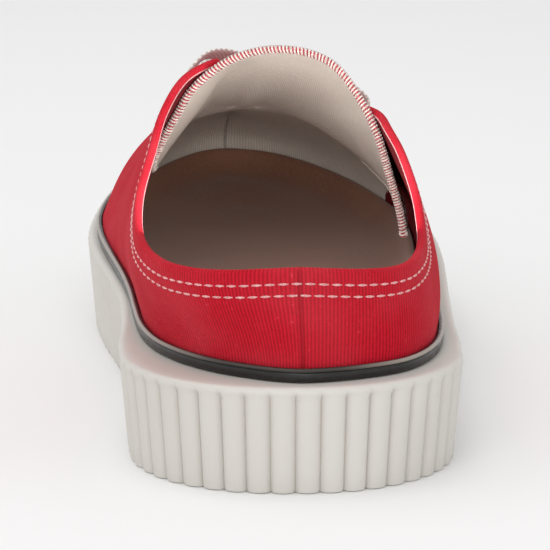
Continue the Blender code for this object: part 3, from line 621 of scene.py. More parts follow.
class Finish:
    """A material and its main shader."""

    def __init__(self, name, **constants):
        self.material = bpy.data.materials.new(name)
        self.material.use_nodes = True
        self.tree = self.material.node_tree
        self.shader = self.tree.nodes["Principled BSDF"]
        for key, value in constants.items():
            self.shader.inputs[key.replace("_", " ")].default_value = value

    def add(self, kind, settings=None, inputs=None, out=0):
        node = self.tree.nodes.new("ShaderNode" + kind)
        for key, value in (settings or {}).items():
            setattr(node, key, value)
        for key, value in (inputs or {}).items():
            if isinstance(value, Wire):
                self.tree.links.new(value.socket, node.inputs[key])
            else:
                node.inputs[key].default_value = value
        return Wire(self, node.outputs[out])

    def set(self, **wires):
        for key, wire in wires.items():
            self.tree.links.new(wire.socket, self.shader.inputs[key.replace("_", " ")])

    def place(self):
        return self.add("TexCoord", out="Object")

    def cloth(self):
        """Metres along and across the piece's own cloth."""
        spot = self.add("UVMap", {"uv_map": "UVMap"})
        return self.add("SeparateXYZ", None, {0: spot}, 0), self.add("SeparateXYZ", None, {0: spot}, 1)

    def noise(self, scale, detail=2.0, vector=None):
        inputs = {"Scale": scale, "Detail": detail}
        inputs["Vector"] = vector or self.place()
        return self.add("TexNoise", None, inputs, "Fac")

    def fade(self, value, low, high, start=0.0, end=1.0):
        """Value between low and high as a smooth run from start to end."""
        return self.add("MapRange", {"interpolation_type": "SMOOTHSTEP"},
                        {0: value, 1: low, 2: high, 3: start, 4: end})

    def mix(self, factor, first, second):
        inputs = {0: factor, 6: first, 7: second}
        return self.add("Mix", {"data_type": "RGBA"}, inputs, 2)

    def bump(self, height, distance, strength=1.0):
        inputs = {"Height": height, "Distance": distance, "Strength": strength}
        return self.add("Bump", None, inputs, "Normal")


def colour(red, green, blue):
    """Linear colour from screen values out of 255."""
    return tuple((value / 255 / 12.92 if value < 10.3 else ((value / 255 + 0.055) / 1.055) ** 2.4)
                 for value in (red, green, blue)) + (1.0,)


def wave(position, pitch):
    """Ridges a pitch apart, from 0 in the grooves to 1."""
    return ((position * (2 * math.pi / pitch)).math("SINE") + 1) * 0.5


def canvas(name, deep, plain, pale, pitch=0.0009, seam=False):
    """Corded canvas: warp cords up the shoe and a finer weft between them. With seam set, painted shade
    darkens a line along the heel seam.
    """
    made = Finish(name, Roughness=0.9, Specular_IOR_Level=0.12, Sheen_Weight=0.16, Sheen_Roughness=0.35)
    made.shader.inputs["Sheen Tint"].default_value = pale
    along, across = made.cloth()
    wander = made.noise(180.0) * 0.0003
    cords = wave(along + wander, pitch)
    weft = wave(across, pitch * 0.62)
    slub = made.noise(900.0, 3.0)
    patches = made.noise(38.0, 3.0)
    shade = cords * 0.45 + weft * 0.12 + slub * 0.40
    base = made.mix(made.fade(shade, 0.15, 0.80), deep, plain)
    # Painted shade: a dark line where along is near zero, in the groove of the heel seam.
    if seam:
        base = made.mix((1 - made.fade(along.math("ABSOLUTE"), 0.0002, 0.0009)) * 0.7, base, deep)
    base = made.mix(made.fade(patches, 0.35, 0.75) * 0.16, base, pale)
    base = made.mix(made.fade(slub, 0.66, 0.80) * 0.30, base, pale)
    height = cords * 0.6 + weft * 0.22 + slub * 0.35
    made.set(Base_Color=base, Normal=made.bump(height, 0.00016, 0.9))
    return made.material


def make_finishes():
    kept = {}
    # Red canvas, with painted shade along its heel seam.
    kept["red_canvas"] = canvas("red_canvas", colour(158, 14, 30), colour(202, 24, 44), colour(232, 100, 110),
                                seam=True)
    # Inside of the quarters: the same red canvas, darkened as painted shade for the shadowed inside of the
    # shoe.
    kept["red_inside_painted_shade"] = canvas("red_inside_painted_shade", colour(70, 8, 16), colour(112, 18, 28),
                                    colour(150, 60, 60))
    kept["cream_lining"] = canvas("cream_lining", colour(190, 180, 168), colour(214, 206, 195),
                                  colour(232, 227, 219), 0.0007)
    rubber = Finish("white_rubber", Roughness=0.5, Coat_Weight=0.05, Coat_Roughness=0.4)
    cloudy = rubber.noise(14.0, 3.0)
    grain = rubber.noise(1400.0, 2.0)
    scuff = rubber.noise(120.0, 4.0)
    base = rubber.mix(rubber.fade(cloudy, 0.3, 0.7), colour(205, 201, 194), colour(213, 209, 203))
    base = rubber.mix(rubber.fade(scuff, 0.62, 0.8) * 0.22, base, colour(184, 178, 168))
    rubber.set(Base_Color=base, Roughness=rubber.fade(cloudy + scuff * 0.4, 0.4, 1.0, 0.42, 0.58),
               Normal=rubber.bump(grain * 0.6 + scuff, 0.00005, 0.5))
    kept["white_rubber"] = rubber.material
    band = Finish("black_rubber", Roughness=0.34)
    along, across = band.cloth()
    speck = band.noise(700.0, 3.0)
    # Painted highlight: a pale line over the raised top line, faint at the heel's middle and stronger toward
    # its sides.
    line = band.fade(across, 0.00335, 0.0036) * (1 - band.fade(across, 0.0047, 0.0050))
    base = band.mix(band.fade(speck, 0.4, 0.75), colour(17, 15, 14), colour(31, 28, 26))
    beside = band.fade(band.add("SeparateXYZ", None, {0: band.place()}, 0).math("ABSOLUTE"), 0.012, 0.034)
    base = band.mix(line * (beside * 0.7 + 0.08), base, colour(176, 166, 156))
    band.set(Base_Color=base, Roughness=band.fade(speck, 0.3, 0.8, 0.28, 0.46),
             Normal=band.bump(speck, 0.00004, 0.5))
    kept["black_rubber"] = band.material
    bed = Finish("brown_footbed", Roughness=0.78, Sheen_Weight=0.15)
    nap = bed.noise(1500.0, 3.0)
    blotch = bed.noise(30.0, 4.0)
    base = bed.mix(bed.fade(nap, 0.3, 0.7), colour(120, 80, 60), colour(142, 98, 75))
    base = bed.mix(bed.fade(blotch, 0.35, 0.75) * 0.35, base, colour(154, 112, 88))
    bed.set(Base_Color=base, Roughness=bed.fade(nap, 0.3, 0.7, 0.70, 0.86),
            Normal=bed.bump(nap + blotch * 0.5, 0.00008, 0.6))
    kept["brown_footbed"] = bed.material
    for name, plain, dark in (("white_thread", (222, 214, 205), (182, 172, 162)),
                              ("pink_thread", (238, 184, 182), (206, 132, 134)),
                              ("red_thread", (186, 70, 80), (146, 44, 54))):
        thread = Finish(name, Roughness=0.7, Sheen_Weight=0.2)
        fibre = thread.noise(2600.0, 2.0)
        thread.set(Base_Color=thread.mix(thread.fade(fibre, 0.35, 0.65), colour(*dark), colour(*plain)),
                   Normal=thread.bump(fibre, 0.00004, 0.6))
        kept[name] = thread.material
    cotton = Finish("white_cotton", Roughness=0.8, Sheen_Weight=0.3)
    along, across = cotton.cloth()
    plait = wave(along + across * 0.9, 0.0013) * wave(along - across * 0.9, 0.0013)
    fluff = cotton.noise(2000.0, 2.0)
    cotton.set(Base_Color=cotton.mix(cotton.fade(plait + fluff * 0.3, 0.1, 0.7), colour(196, 190, 182),
                                     colour(240, 238, 234)),
               Normal=cotton.bump(plait + fluff * 0.3, 0.0001, 0.8))
    kept["white_cotton"] = cotton.material
    steel = Finish("eyelet_metal", Metallic=1.0, Roughness=0.3)
    scratch = steel.noise(900.0, 4.0)
    steel.set(Base_Color=steel.mix(scratch, colour(186, 184, 182), colour(222, 221, 219)),
              Roughness=steel.fade(scratch, 0.3, 0.7, 0.22, 0.40))
    kept["eyelet_metal"] = steel.material
    floor = Finish("plain_floor", Roughness=0.9)
    mottle = floor.noise(3.0)
    floor.set(Base_Color=floor.mix(mottle, colour(243, 243, 243), colour(246, 246, 246)))
    kept["plain_floor"] = floor.material
    return kept


# ---- The shoe's pieces ----


def rib_depth(parts):
    """Depth of the side wall's grooves at parts of the way round: round lobes, narrow grooves."""
    lobe = np.abs(np.sin(np.pi * parts * RIB_COUNT))
    return RIB_DEPTH * (1 - lobe ** 0.5)


def make_sidewall():
    """Cup sole in one closed skin, from its pocket over the lip and down the ribs to the tread."""
    count = RIB_COUNT * 10
    parts = np.arange(count) / count
    outline = plan_loop(SOLE_OUTLINE, parts)
    band = plan_loop(LAST_FOOT, parts)
    depth = rib_depth(parts)
    rows = []
    rows.append(ring(band, POCKET_INSET, lip_height, -POCKET_DEPTH))
    rows.append(ring(band, POCKET_INSET, lip_height, -0.0006))
    rows.append(ring(band, POCKET_INSET - 0.0006, lip_height, 0))
    rows += blend(ring(band, 0, lip_height, 0), ring(outline, LIP_ROUNDING, lip_height, 0),
                  (0.0, 0.35, 0.7, 1.0))
    for angle, share in zip(np.radians((20, 40, 60, 80)), (0.0, 0.04, 0.12, 0.26)):
        inset = LIP_ROUNDING * (1 - math.sin(angle)) + (RIB_HEAD_INSET + depth) * share
        rows.append(ring(outline, inset, lip_height, -LIP_ROUNDING * (1 - math.cos(angle))))
    run_out = ((0.0, 0.36), (0.0003, 0.52), (0.0007, 0.72), (0.0012, 0.90), (0.0018, 0.98))
    for drop, share in run_out:
        inset = RIB_HEAD_INSET * share + depth * share
        rows.append(ring(outline, inset, lip_height, -LIP_ROUNDING - drop))
    lip = ring(outline, RIB_HEAD_INSET + depth, lip_height, -LIP_ROUNDING - 0.0026)
    foot = ring(outline, WALL_DRAFT + depth, floor_height, 0.0008)
    rows += blend(lip, foot, (0.0, 0.2, 0.4, 0.6, 0.8, 1.0))
    rows.append(ring(outline, WALL_DRAFT + depth + 0.0003, floor_height, 0.0002))
    rows.append(ring(outline, WALL_DRAFT + depth + 0.0010, floor_height, 0))
    rows.append(ring(outline, TREAD_INSET, floor_height, 0))
    rows.append(ring(outline, TREAD_INSET, floor_height, TREAD_DEPTH))
    grid = np.array([closed(row) for row in rows])
    around = np.broadcast_to(lengths(grid[10])[None], grid.shape[:2])
    spots = np.stack([around, lengths(grid)], axis=-1)
    piece = laid_grid("ribbed_cup_sole", grid, spots)
    edit(piece, MERGE)
    close_holes(piece)
    piece.data.materials.append(finishes["white_rubber"])
    smooth_faces(piece, 42)
    return done(piece, "white_rubber", "sidewall")


def foot_rows(last, step, levels):
    return np.array([closed(last.foot_ring(step, inset, rise)) for inset, rise in levels])


def make_band(last):
    """Glossy foxing band with a thin raised line along its top, which carries a painted pale highlight."""
    inner, outer = -CLEARANCE, -CLEARANCE - BAND_THICKNESS
    soft = 0.0003
    top = CLEARANCE + BAND_HEIGHT
    levels = [(inner, CLEARANCE), (outer + soft, CLEARANCE), (outer, CLEARANCE + soft),
              (outer, top - 0.0011), (outer + 0.0001, top - 0.0009), (outer + 0.0002, top - 0.0008),
              (outer - 0.0001, top - 0.0006), (outer - 0.0002, top - 0.0003), (outer, top),
              (outer + soft, top + 0.0002), (inner - 0.0001, top + 0.0001), (inner, top - soft),
              (inner, CLEARANCE)]
    grid = foot_rows(last, 0.125, levels)
    across = np.zeros(len(levels))
    across[1:] = np.cumsum(np.hypot(*np.diff(np.array(levels), axis=0).T))
    around = np.broadcast_to(lengths(grid[3])[None], grid.shape[:2])
    spots = np.stack([around, np.broadcast_to(across[:, None], grid.shape[:2])], axis=-1)
    piece = laid_grid("foxing_strip", grid, spots)
    edit(piece, MERGE, FACE_OUT)
    piece.data.materials.append(finishes["black_rubber"])
    smooth_faces(piece, 45)
    return done(piece, "black_rubber", "foxing_band")


def make_insole(last):
    """Moulded footbed with a soft rim. The bed dips a little toward its middle."""
    base = CLEARANCE - POCKET_DEPTH
    bed = base + INSOLE_THICKNESS
    curve = np.array(INSOLE_CURVE)
    levels = [(0, base), (0, base + 0.004), (0, bed + INSOLE_RIM - 0.0006),
              (0.0003, bed + INSOLE_RIM - 0.0001), (0.0008, bed + INSOLE_RIM)]
    for inset in np.linspace(0.0014, 0.0095, 12):
        levels.append((inset, bed + INSOLE_RIM * float(smooth(curve[:, 0], curve[:, 1], inset))))
    rows = [closed(last.foot_ring(0.25, INSOLE_INSET + inset, rise)) for inset, rise in levels]
    edge = rows[-1]
    low, high = edge[:, 1].min() + 0.024, edge[:, 1].max() - 0.030
    along = np.clip(edge[:, 1], low, high)
    count = len(edge) // 2
    spine_y = np.linspace(low, high, 24)
    left = np.interp(spine_y, edge[count:, 1][::-1], edge[count:, 0][::-1])
    right = np.interp(spine_y, edge[:count, 1], edge[:count, 0])
    spine_x = np.interp(along, spine_y, (left + right) / 2)
    spine_z = np.interp(along, edge[:count, 1], edge[:count, 2])
    spine = np.column_stack([spine_x, along, spine_z - 0.0006])
    for share in (0.12, 0.28, 0.48, 0.7, 0.88, 1.0):
        row = edge + (spine - edge) * share
        row[:, 2] = edge[:, 2] + (spine[:, 2] - edge[:, 2]) * eased(share)
        rows.append(row)
    grid = np.array(rows)
    piece = laid_grid("moulded_footbed", grid, grid[..., :2])
    edit(piece, MERGE)
    close_holes(piece)
    piece.data.materials.append(finishes["brown_footbed"])
    smooth_faces(piece, 60)
    return done(piece, "brown_footbed", "insole")


# Thread, in metres
STITCH_PITCH = 0.0031
STITCH_LENGTH = 0.0024
COLLAR_ROWS = (0.0027, 0.0054)      # distance of each row of stitches below the collar
SERGING_PITCH = 0.00095
SERGING_REACH = 0.0009              # half the width of the oversewn edge
SERGING_THREADS = (("serging_white", 0.0, 0.00056), ("serging_red", 0.5, 0.00030))    # shift, thickness
EYELET_PROFILE = (                  # radius and height, from its foot over the rolled rim into the hole
    (0.0041, 0.0000), (0.0041, 0.0003), (0.0038, 0.0007), (0.0034, 0.0009),
    (0.0029, 0.0008), (0.0025, 0.0005), (0.0023, 0.0000), (0.0023, -0.0010),
    (0.0021, -0.0010), (0.0021, 0.0000), (0.0041, 0.0000))
LACE_SUNK = 0.0034                  # depth of a strap's end in its eyelet
# Section places of the canvas shell's columns, finer beside the heel seam
SEAM_COLUMNS = (0.0, 0.03, 0.06, 0.09, 0.13, 0.18, 0.25, 0.35, 0.5)
HEEL_SEAM_DEPTH = 0.0007
HEEL_SEAM_WIDTH = 0.0006
# Rear edge of the cream lining inside the canvas: section place at each climb from the foot
LINING_EDGE = table(
    "climb lateral medial",
    (0.00, 17.6, 12.0),
    (0.24, 16.0, 12.0),
    (0.34, 15.0, 12.0),
    (0.46, 13.5, 12.0),
    (0.58, 12.5, 12.0),
    (0.72, 12.0, 12.0),
    (1.00, 12.0, 12.0))


def make_upper(last):
    """Canvas shell: outside, rolled edge at collar and throat, and its inside in two colours: the red canvas
    darkened as painted shade at the quarters, and the cream lining ahead.
    """
    places = np.concatenate([SEAM_COLUMNS, np.arange(0.625, THROAT_BASE, 0.125),
                             np.arange(THROAT_BASE, TOE + 0.01, 0.125)])
    climbs = np.linspace(0, 1, 37)
    drop = BAND_HEIGHT + CLEARANCE
    sides = []
    for side in (1, -1):
        outside = last.points(places, side, climbs)
        normals = last.normals(places, side, climbs)
        sides.append([outside, normals])
    shared = places >= THROAT_BASE
    both = unit(sides[0][1] + sides[1][1])
    sheets = []
    for outside, normals in sides:
        normals[shared, -1] = both[shared, -1]
        normals[[0, -1]] = both[[0, -1]]
        inside = outside - normals * CANVAS_THICKNESS
        inside[:, :1] = outside[:, :1] - unit(normals[:, :1] * [1, 1, 0]) * CANVAS_THICKNESS
        from_seam = lengths(outside, 0)
        groove = HEEL_SEAM_DEPTH * np.exp(-(from_seam / HEEL_SEAM_WIDTH) ** 2)
        outside = outside - normals * groove[..., None]
        rise = unit(outside[:, -1] - outside[:, -3])
        middle = (outside[:, -1] + inside[:, -1]) / 2
        half = (outside[:, -1] - inside[:, -1]) / 2
        fold = []
        for angle in np.radians((30, 60, 90, 120, 150)):
            fold.append(middle + half * math.cos(angle)
                        + rise * math.sin(angle) * CANVAS_THICKNESS * 0.45)
        fold = np.stack(fold, axis=1)
        hem = [0, 0, drop]
        run = np.concatenate([outside[:, :1] - hem, outside, fold, inside[:, ::-1],
                              inside[:, :1] - hem, outside[:, :1] - hem], axis=1)
        sheets.append(run)
    grid = np.concatenate([sheets[0], sheets[1][-2::-1]])
    count = len(places)
    level = len(climbs)
    middle_level = level // 2
    around = lengths(grid[:, middle_level])
    heel = around[-1]
    around = np.where(np.arange(len(around)) < count, around, around - heel)
    across = lengths(grid, 1)
    collar = across[:, level + 3:level + 4]
    spots = np.stack([np.broadcast_to(around[:, None], across.shape), collar - across], axis=-1)
    all_places = np.concatenate([places, places[-2::-1]])
    drop_faces = np.zeros((len(grid) - 1, grid.shape[1] - 1), dtype=bool)
    cell_place = (all_places[1:] + all_places[:-1]) / 2
    drop_faces[cell_place > THROAT_BASE, level:level + 6] = True
    piece = laid_grid("canvas_upper", grid, spots)
    inner_climb = np.full(grid.shape[1] - 1, -1.0)
    inner_climb[level + 6:level + 6 + level - 1] = (climbs[::-1][1:] + climbs[::-1][:-1]) / 2
    slots = np.zeros((len(grid) - 1, grid.shape[1] - 1), dtype=np.int32)
    for number in range(len(grid) - 1):
        name = "lateral" if number < count - 1 else "medial"
        for step in np.flatnonzero(inner_climb >= 0):
            edge = np.interp(inner_climb[step], LINING_EDGE["climb"], LINING_EDGE[name])
            # Behind the cream lining's edge, the inside gets the red canvas darkened as painted shade.
            slots[number, step] = 2 if cell_place[number] > edge else 1
    slots[cell_place <= THROAT_BASE, level + 5:level + 6] = 3
    foot_cells = slots[:, level + 4 + level:level + 5 + level]
    slots[:, level + 6 + level - 1:] = foot_cells
    piece.data.polygons.foreach_set("material_index", slots.ravel())
    for name in ("red_canvas", "red_inside_painted_shade", "cream_lining", "pink_thread"):
        piece.data.materials.append(finishes[name])
    deselect_parts(piece.data)
    piece.data.polygons.foreach_set("select", drop_faces.ravel())
    pick(piece)
    bpy.ops.object.mode_set(mode="EDIT")
    bpy.ops.mesh.select_mode(type="FACE")
    bpy.ops.mesh.delete(type="FACE")
    bpy.ops.mesh.select_mode(type="VERT")
    bpy.ops.object.mode_set(mode="OBJECT")
    edit(piece, MERGE, FACE_OUT)
    smooth_faces(piece, 60)
    return done(piece, "red_canvas", "upper")


def rounded_sheet(name, top, bottom, spots, materials, slot, nodes=(), degrees=60):
    """Two faces of a sheet with a rounded edge all round, as one closed skin over one grid."""
    middle, half = (top + bottom) / 2, (top - bottom) / 2
    out = np.zeros_like(middle)
    out[0], out[-1] = middle[0] - middle[1], middle[-1] - middle[-2]
    out[:, 0] += middle[:, 0] - middle[:, 1]
    out[:, -1] += middle[:, -1] - middle[:, -2]
    size = np.linalg.norm(out, axis=-1)[..., None]
    out = out / np.maximum(size, 1e-9)
    thick = np.linalg.norm(half, axis=-1)[..., None]
    edge = size[..., 0] > 1e-8
    face_up = middle + half * np.where(edge, 0.45, 1.0)[..., None]
    face_down = middle - half * np.where(edge, 0.45, 1.0)[..., None]
    face_up = face_up + out * thick * 0.1
    face_down = face_down + out * thick * 0.1
    upper_face = laid_grid(name, face_up, spots)
    lower_face = laid_grid(name + "_lower", face_down, spots)
    for face, material in zip((upper_face, lower_face), materials):
        face.data.materials.append(finishes[material])
    piece = joined(name, [upper_face, lower_face])
    close_holes(piece, bpy.ops.mesh.bridge_edge_loops)
    smooth_faces(piece, degrees)
    return done(piece, slot, *nodes)


def make_tongue(last):
    """Wide tongue: red canvas above, cream cotton below."""
    middle = tongue_points(last, 41, 97)
    along = np.gradient(middle, axis=0)
    across = np.gradient(middle, axis=1)
    normal = unit(np.cross(across, along))
    normal = normal * np.sign(normal[20, 48, 2])
    spots = np.stack([lengths(middle, 1), lengths(middle, 0)], axis=-1)
    half = normal * TONGUE_THICKNESS / 2
    rounded_sheet("canvas_tongue", middle + half, middle - half, spots,
                  ("red_canvas", "cream_lining"), "tongue_canvas", ("tongue",))
    edge = np.concatenate([middle[::-1, 0], middle[0, 1:-1], middle[:, -1]])
    inward = np.concatenate([(middle[:, 1] - middle[:, 0])[::-1], (middle[1] - middle[0])[1:-1],
                             middle[:, -2] - middle[:, -1]])
    up = np.concatenate([normal[::-1, 0], normal[0, 1:-1], normal[:, -1]])
    inward = unit(inward - up * (inward * up).sum(axis=1)[:, None])
    for name, shift, thickness in SERGING_THREADS:
        make_serging(name, edge, inward, up, shift, thickness)


def make_serging(name, edge, inward, up, shift, thickness):
    """Thread wound over the tongue's edge."""
    along = lengths(edge)
    turns = int(along[-1] / SERGING_PITCH)
    steps = 9
    time = np.arange(turns * steps) / steps
    where = time / turns * along[-1]
    line = [read_along(where, along, field) for field in (edge, inward, up)]
    angle = 2 * math.pi * (time + shift)
    lift = TONGUE_THICKNESS / 2 + 0.00014
    spots = (line[0] + line[1] * (0.00068 + SERGING_REACH * np.cos(angle))[:, None]
             + line[2] * (lift * np.sin(angle))[:, None])
    curve = bpy.data.curves.new(name, "CURVE")
    curve.dimensions = "3D"
    curve.bevel_depth = thickness / 2
    curve.bevel_resolution = 0
    curve.use_fill_caps = True
    spline = curve.splines.new("POLY")
    spline.points.add(len(spots) - 1)
    spline.points.foreach_set("co", np.column_stack([spots, np.ones(len(spots))]).ravel())
    piece = bpy.data.objects.new(name, curve)
    bpy.context.collection.objects.link(piece)
    pick(piece)
    bpy.ops.object.convert(target="MESH")
    piece = bpy.context.object
    piece.data.materials.append(finishes["white_thread" if "white" in name else "red_thread"])
    smooth_faces(piece, 80)
    return done(piece, "tongue_canvas")


def stitch(width, height):
    """One stitch lying along X: a stubby rod of thread with sunk ends."""
    deselect()
    bpy.ops.mesh.primitive_cylinder_add(vertices=6, radius=0.5, depth=1, end_fill_type="TRIFAN",
                                        rotation=(0, math.pi / 2, 0))
    model = bpy.context.object
    pick(model)
    bpy.ops.object.transform_apply(location=False, rotation=True, scale=False)
    model.data.transform(Matrix.Diagonal((STITCH_LENGTH, width, height, 1)))
    edit(model, (bpy.ops.mesh.subdivide, {"number_cuts": 1}))
    for vertex in model.data.vertices:
        share = min(1.0, abs(vertex.co.x) / (STITCH_LENGTH / 2))
        vertex.co.z -= height * 0.55 * share ** 4
        vertex.co.y *= 1 - 0.35 * share ** 4
    smooth_faces(model, 80)
    return model


def stitch_frames(spots, ups):
    """Frames at even steps along a line of points on the cloth."""
    along = lengths(spots)
    count = int(along[-1] / STITCH_PITCH)
    middle = (np.arange(count) + 0.5) / count * along[-1]
    centres, behind, ahead = [read_along(middle + STITCH_PITCH * off, along, spots)
                              for off in (0, -0.3, 0.3)]
    return [turned(centre, run, top)
            for centre, run, top in zip(centres, ahead - behind, read_along(middle, along, ups))]


def cloth_line(last, stops, distance, lift):
    """Line on the canvas at a distance below its edge. A stop is a side and a section place."""
    spots, ups = [], []
    for side, number in stops:
        point, normal = last.at_distance(number, side, distance)
        spots.append(point + normal * lift)
        ups.append(normal)
    return np.array(spots), np.array(ups)


def make_collar_stitching(last):
    """Two rows of topstitching round the collar."""
    stops = [(-1, number) for number in np.arange(THROAT_TOP - 0.1, 0, -0.3)]
    stops += [(1, number) for number in np.arange(0.05, THROAT_TOP, 0.3)]
    frames = []
    for distance in COLLAR_ROWS:
        frames += stitch_frames(*cloth_line(last, stops, distance, 0.0001))
    model = stitch(0.00062, 0.00055)
    model.data.materials.append(finishes["pink_thread"])
    return done(copies("collar_topstitching", model, frames), "white_cotton")


def make_eyestay(last, side, name):
    """Canvas facing beside the throat, with a row of stitches along its edges."""
    places = np.linspace(THROAT_TOP + 0.5, THROAT_BASE - 0.5, 45)
    distances = np.linspace(0.0006, EYESTAY_WIDTH, 15)
    low, high = [], []
    for number in places:
        spots = [last.at_distance(number, side, distance) for distance in distances]
        low.append([point + normal * CLEARANCE for point, normal in spots])
        high.append([point + normal * (CLEARANCE + EYESTAY_THICKNESS) for point, normal in spots])
    low, high = np.array(low), np.array(high)
    spots = np.stack([lengths(high, 0), lengths(high, 1)], axis=-1)
    rounded_sheet(name + "_facing", high, low, spots, ("red_canvas", "red_canvas"), "red_canvas", (name,))
    lift = CLEARANCE + EYESTAY_THICKNESS + 0.0001
    frames = []
    for distance in (0.0022, EYESTAY_WIDTH - 0.0016, EYESTAY_WIDTH - 0.0038):
        stops = [(side, number) for number in np.linspace(places[0] + 0.1, places[-1] - 0.1, 24)]
        frames += stitch_frames(*cloth_line(last, stops, distance, lift))
    model = stitch(0.0006, 0.0005)
    model.data.materials.append(finishes["pink_thread"])
    return done(copies(name + "_stitching", model, frames), "white_cotton")


def make_eyelet(last, number, side, name):
    """Rolled metal eyelet with a short barrel into its hole."""
    spot, normal = last.at_distance(eyelet_places()[number], side, EYELET_FROM_EDGE)
    base = spot + normal * (2 * CLEARANCE + EYESTAY_THICKNESS)
    angles = np.linspace(0, 2 * math.pi, 33)
    rows = [np.column_stack([radius * np.cos(angles), radius * np.sin(angles), 0 * angles + height])
            for radius, height in EYELET_PROFILE]
    piece = laid_grid("rolled_" + name, np.array(rows))
    edit(piece, MERGE, FACE_OUT)
    turn = Vector((0, 0, 1)).rotation_difference(Vector(normal)).to_matrix().to_4x4()
    turn.translation = Vector(base)
    piece.data.transform(turn)
    piece.data.materials.append(finishes["eyelet_metal"])
    smooth_faces(piece, 60)
    return done(piece, "eyelet_metal", name)


def lace_strap(last, medial_number, lateral_number, lift, name):
    """Flat strap from one eyelet's hole over the throat and into the other's."""
    places = eyelet_places()[[medial_number, lateral_number]]
    ends = [last.at_distance(number, side, EYELET_FROM_EDGE) for number, side in zip(places, (-1, 1))]
    start, end = [point + up * lift for point, up in ends]
    chord = end - start
    marks, tops = [start], [ends[0][1]]
    for side, number in zip((-1, 1), places):
        edge, up = last.at_distance(number, side, 0)
        share = np.dot(edge - start, chord) / np.dot(chord, chord)
        mark = start + share * chord
        mark[2] = edge[2] + up[2] * lift
        marks.append(mark)
        tops.append(up)
    marks.insert(2, (marks[1] + marks[2]) / 2 + [0, 0, LACE_ARCH])
    tops.insert(2, (tops[1] + tops[2]) / 2)
    marks.append(end)
    tops.append(ends[1][1])
    way = unit(chord)
    marks = ([start - ends[0][1] * LACE_SUNK - way * 0.0002] + marks
             + [end - ends[1][1] * LACE_SUNK + way * 0.0002])
    tops = [tops[0] - way * 0.9] + tops + [tops[-1] + way * 0.9]
    marks = np.array(marks)
    knots = np.concatenate([[0], np.cumsum(np.linalg.norm(np.diff(marks, axis=0), axis=1))])
    stops = np.linspace(0, knots[-1], 53)
    path = smooth(knots, marks, stops)
    top = smooth(knots, np.array(tops), stops)
    run = np.gradient(path, axis=0)
    wide = unit(np.cross(run, top))
    thick = unit(np.cross(wide, run))
    from_end = np.minimum(stops, knots[-1] - stops)
    open_out = eased(np.clip((from_end - 0.002) / 0.006, 0, 1))
    half_width = LACE_WIDTH / 2 * (0.55 + 0.45 * open_out)
    angles = np.linspace(0, 2 * math.pi, 17)
    rows = []
    for point, across, up, half in zip(path, wide, thick, half_width):
        flat = np.sign(np.cos(angles)) * np.abs(np.cos(angles)) ** 0.75
        high = np.sign(np.sin(angles)) * np.abs(np.sin(angles)) ** 0.6
        rows.append(point + across * (flat * half)[:, None] + up * (high * LACE_THICKNESS / 2)[:, None])
    grid = np.array(rows)
    width_spot = np.cos(angles)[None] * half_width[:, None]
    spots = np.stack([np.broadcast_to(stops[:, None], width_spot.shape), width_spot], axis=-1)
    piece = laid_grid(name, grid, spots)
    edit(piece, MERGE)
    close_holes(piece)
    return piece


def make_lace(last):
    """Crossed straps and the front bar, each strap in and out of its eyelets."""
    lift = 2 * CLEARANCE + EYESTAY_THICKNESS + EYELET_HEIGHT + LACE_OVER_EYELETS + LACE_THICKNESS / 2
    front = EYELET_COUNT - 1
    straps = [lace_strap(last, front, front, lift, "strap")]
    for number in range(front):
        straps.append(lace_strap(last, number, number + 1, lift, "strap"))
        straps.append(lace_strap(last, number + 1, number, lift + 0.0009, "strap"))
    lace = joined("flat_cotton_lace", straps)
    lace.data.materials.append(finishes["white_cotton"])
    smooth_faces(lace, 60)
    return done(lace, "white_cotton", "lace")


# ---- Floor, light and camera ----

CAMERA = Vector((-0.0208, -0.8966, 0.2082))
AIM_FORWARD = Vector((-0.0390, 0.9784, -0.2030))
AIM_RIGHT = Vector((0.9992, 0.0398, 0.0))
FOCAL = 2036.19            # of the photograph, in picture points
CENTRE_SHIFT = (131.0, -3.0)    # the shoe's middle in the photograph, from the picture's
ENLARGED = 1.70


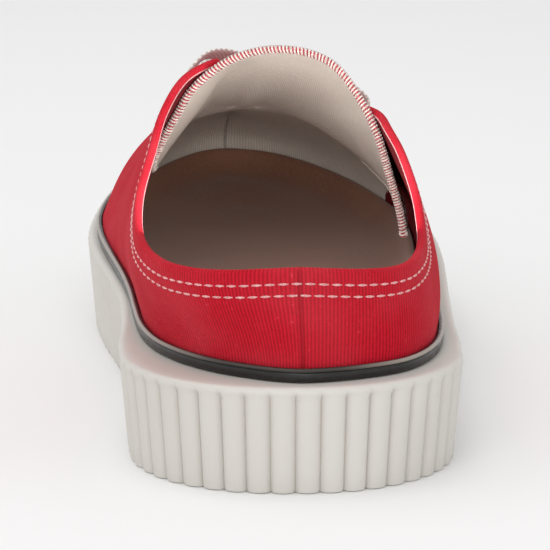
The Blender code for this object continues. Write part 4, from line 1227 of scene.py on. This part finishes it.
def make_stage():
    deselect()
    bpy.ops.mesh.primitive_plane_add(size=6, location=(0, 0, 0))
    floor = bpy.context.object
    floor.name = "studio_floor"
    floor.data.materials.append(finishes["plain_floor"])
    world = bpy.data.worlds.new("studio")
    bpy.context.scene.world = world
    world.use_nodes = True
    world.node_tree.nodes["Background"].inputs["Color"].default_value = (1, 1, 1, 1)
    world.node_tree.nodes["Background"].inputs["Strength"].default_value = 0.78
    lights = (("overhead", (-0.35, 0.10, 1.30), (0, 0.0, 0.04), 0.9, 3.0),
              ("beside_camera", (-0.45, -1.30, 0.85), (0, -0.02, 0.05), 0.7, 4.0),
              ("low_fill", (0.15, -1.30, 0.42), (0, 0.0, 0.05), 0.5, 1.5),
              ("into_the_opening", (0.000, -0.088, 0.064), (0, 0.03, 0.082), 0.06, 0.075))
    for name, place_at, look_at, size, power in lights:
        data = bpy.data.lights.new(name, "AREA")
        data.size = size
        data.energy = power
        lamp = bpy.data.objects.new(name, data)
        lamp.location = place_at
        lamp.visible_camera = False
        lamp.rotation_euler = (Vector(look_at) - Vector(place_at)).to_track_quat("-Z", "Y").to_euler()
        bpy.context.collection.objects.link(lamp)


def make_camera():
    data = bpy.data.cameras.new("camera")
    data.sensor_width = 36
    data.lens = FOCAL * ENLARGED / 550 * 36
    data.clip_end = 20
    bpy.context.scene.view_settings.view_transform = "Standard"
    camera = bpy.data.objects.new("camera", data)
    camera.location = CAMERA
    up = AIM_RIGHT.cross(AIM_FORWARD)
    aim = AIM_FORWARD * FOCAL + AIM_RIGHT * CENTRE_SHIFT[0] - up * CENTRE_SHIFT[1]
    camera.rotation_euler = aim.to_track_quat("-Z", "Y").to_euler()
    bpy.context.collection.objects.link(camera)
    bpy.context.scene.camera = camera


finishes = make_finishes()
make_camera()
make_stage()
shoe_last = Last()
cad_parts["outsole"].data.materials.clear()
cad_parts["outsole"].data.materials.append(finishes["white_rubber"])
make_sidewall()
make_band(shoe_last)
make_insole(shoe_last)
make_upper(shoe_last)
make_tongue(shoe_last)
make_collar_stitching(shoe_last)
for side_name, side_sign in (("medial", -1), ("lateral", 1)):
    make_eyestay(shoe_last, side_sign, "eyestay_" + side_name)
    for eyelet_number in range(EYELET_COUNT):
        make_eyelet(shoe_last, eyelet_number, side_sign, f"eyelet_{side_name}_{eyelet_number + 1}")
make_lace(shoe_last)
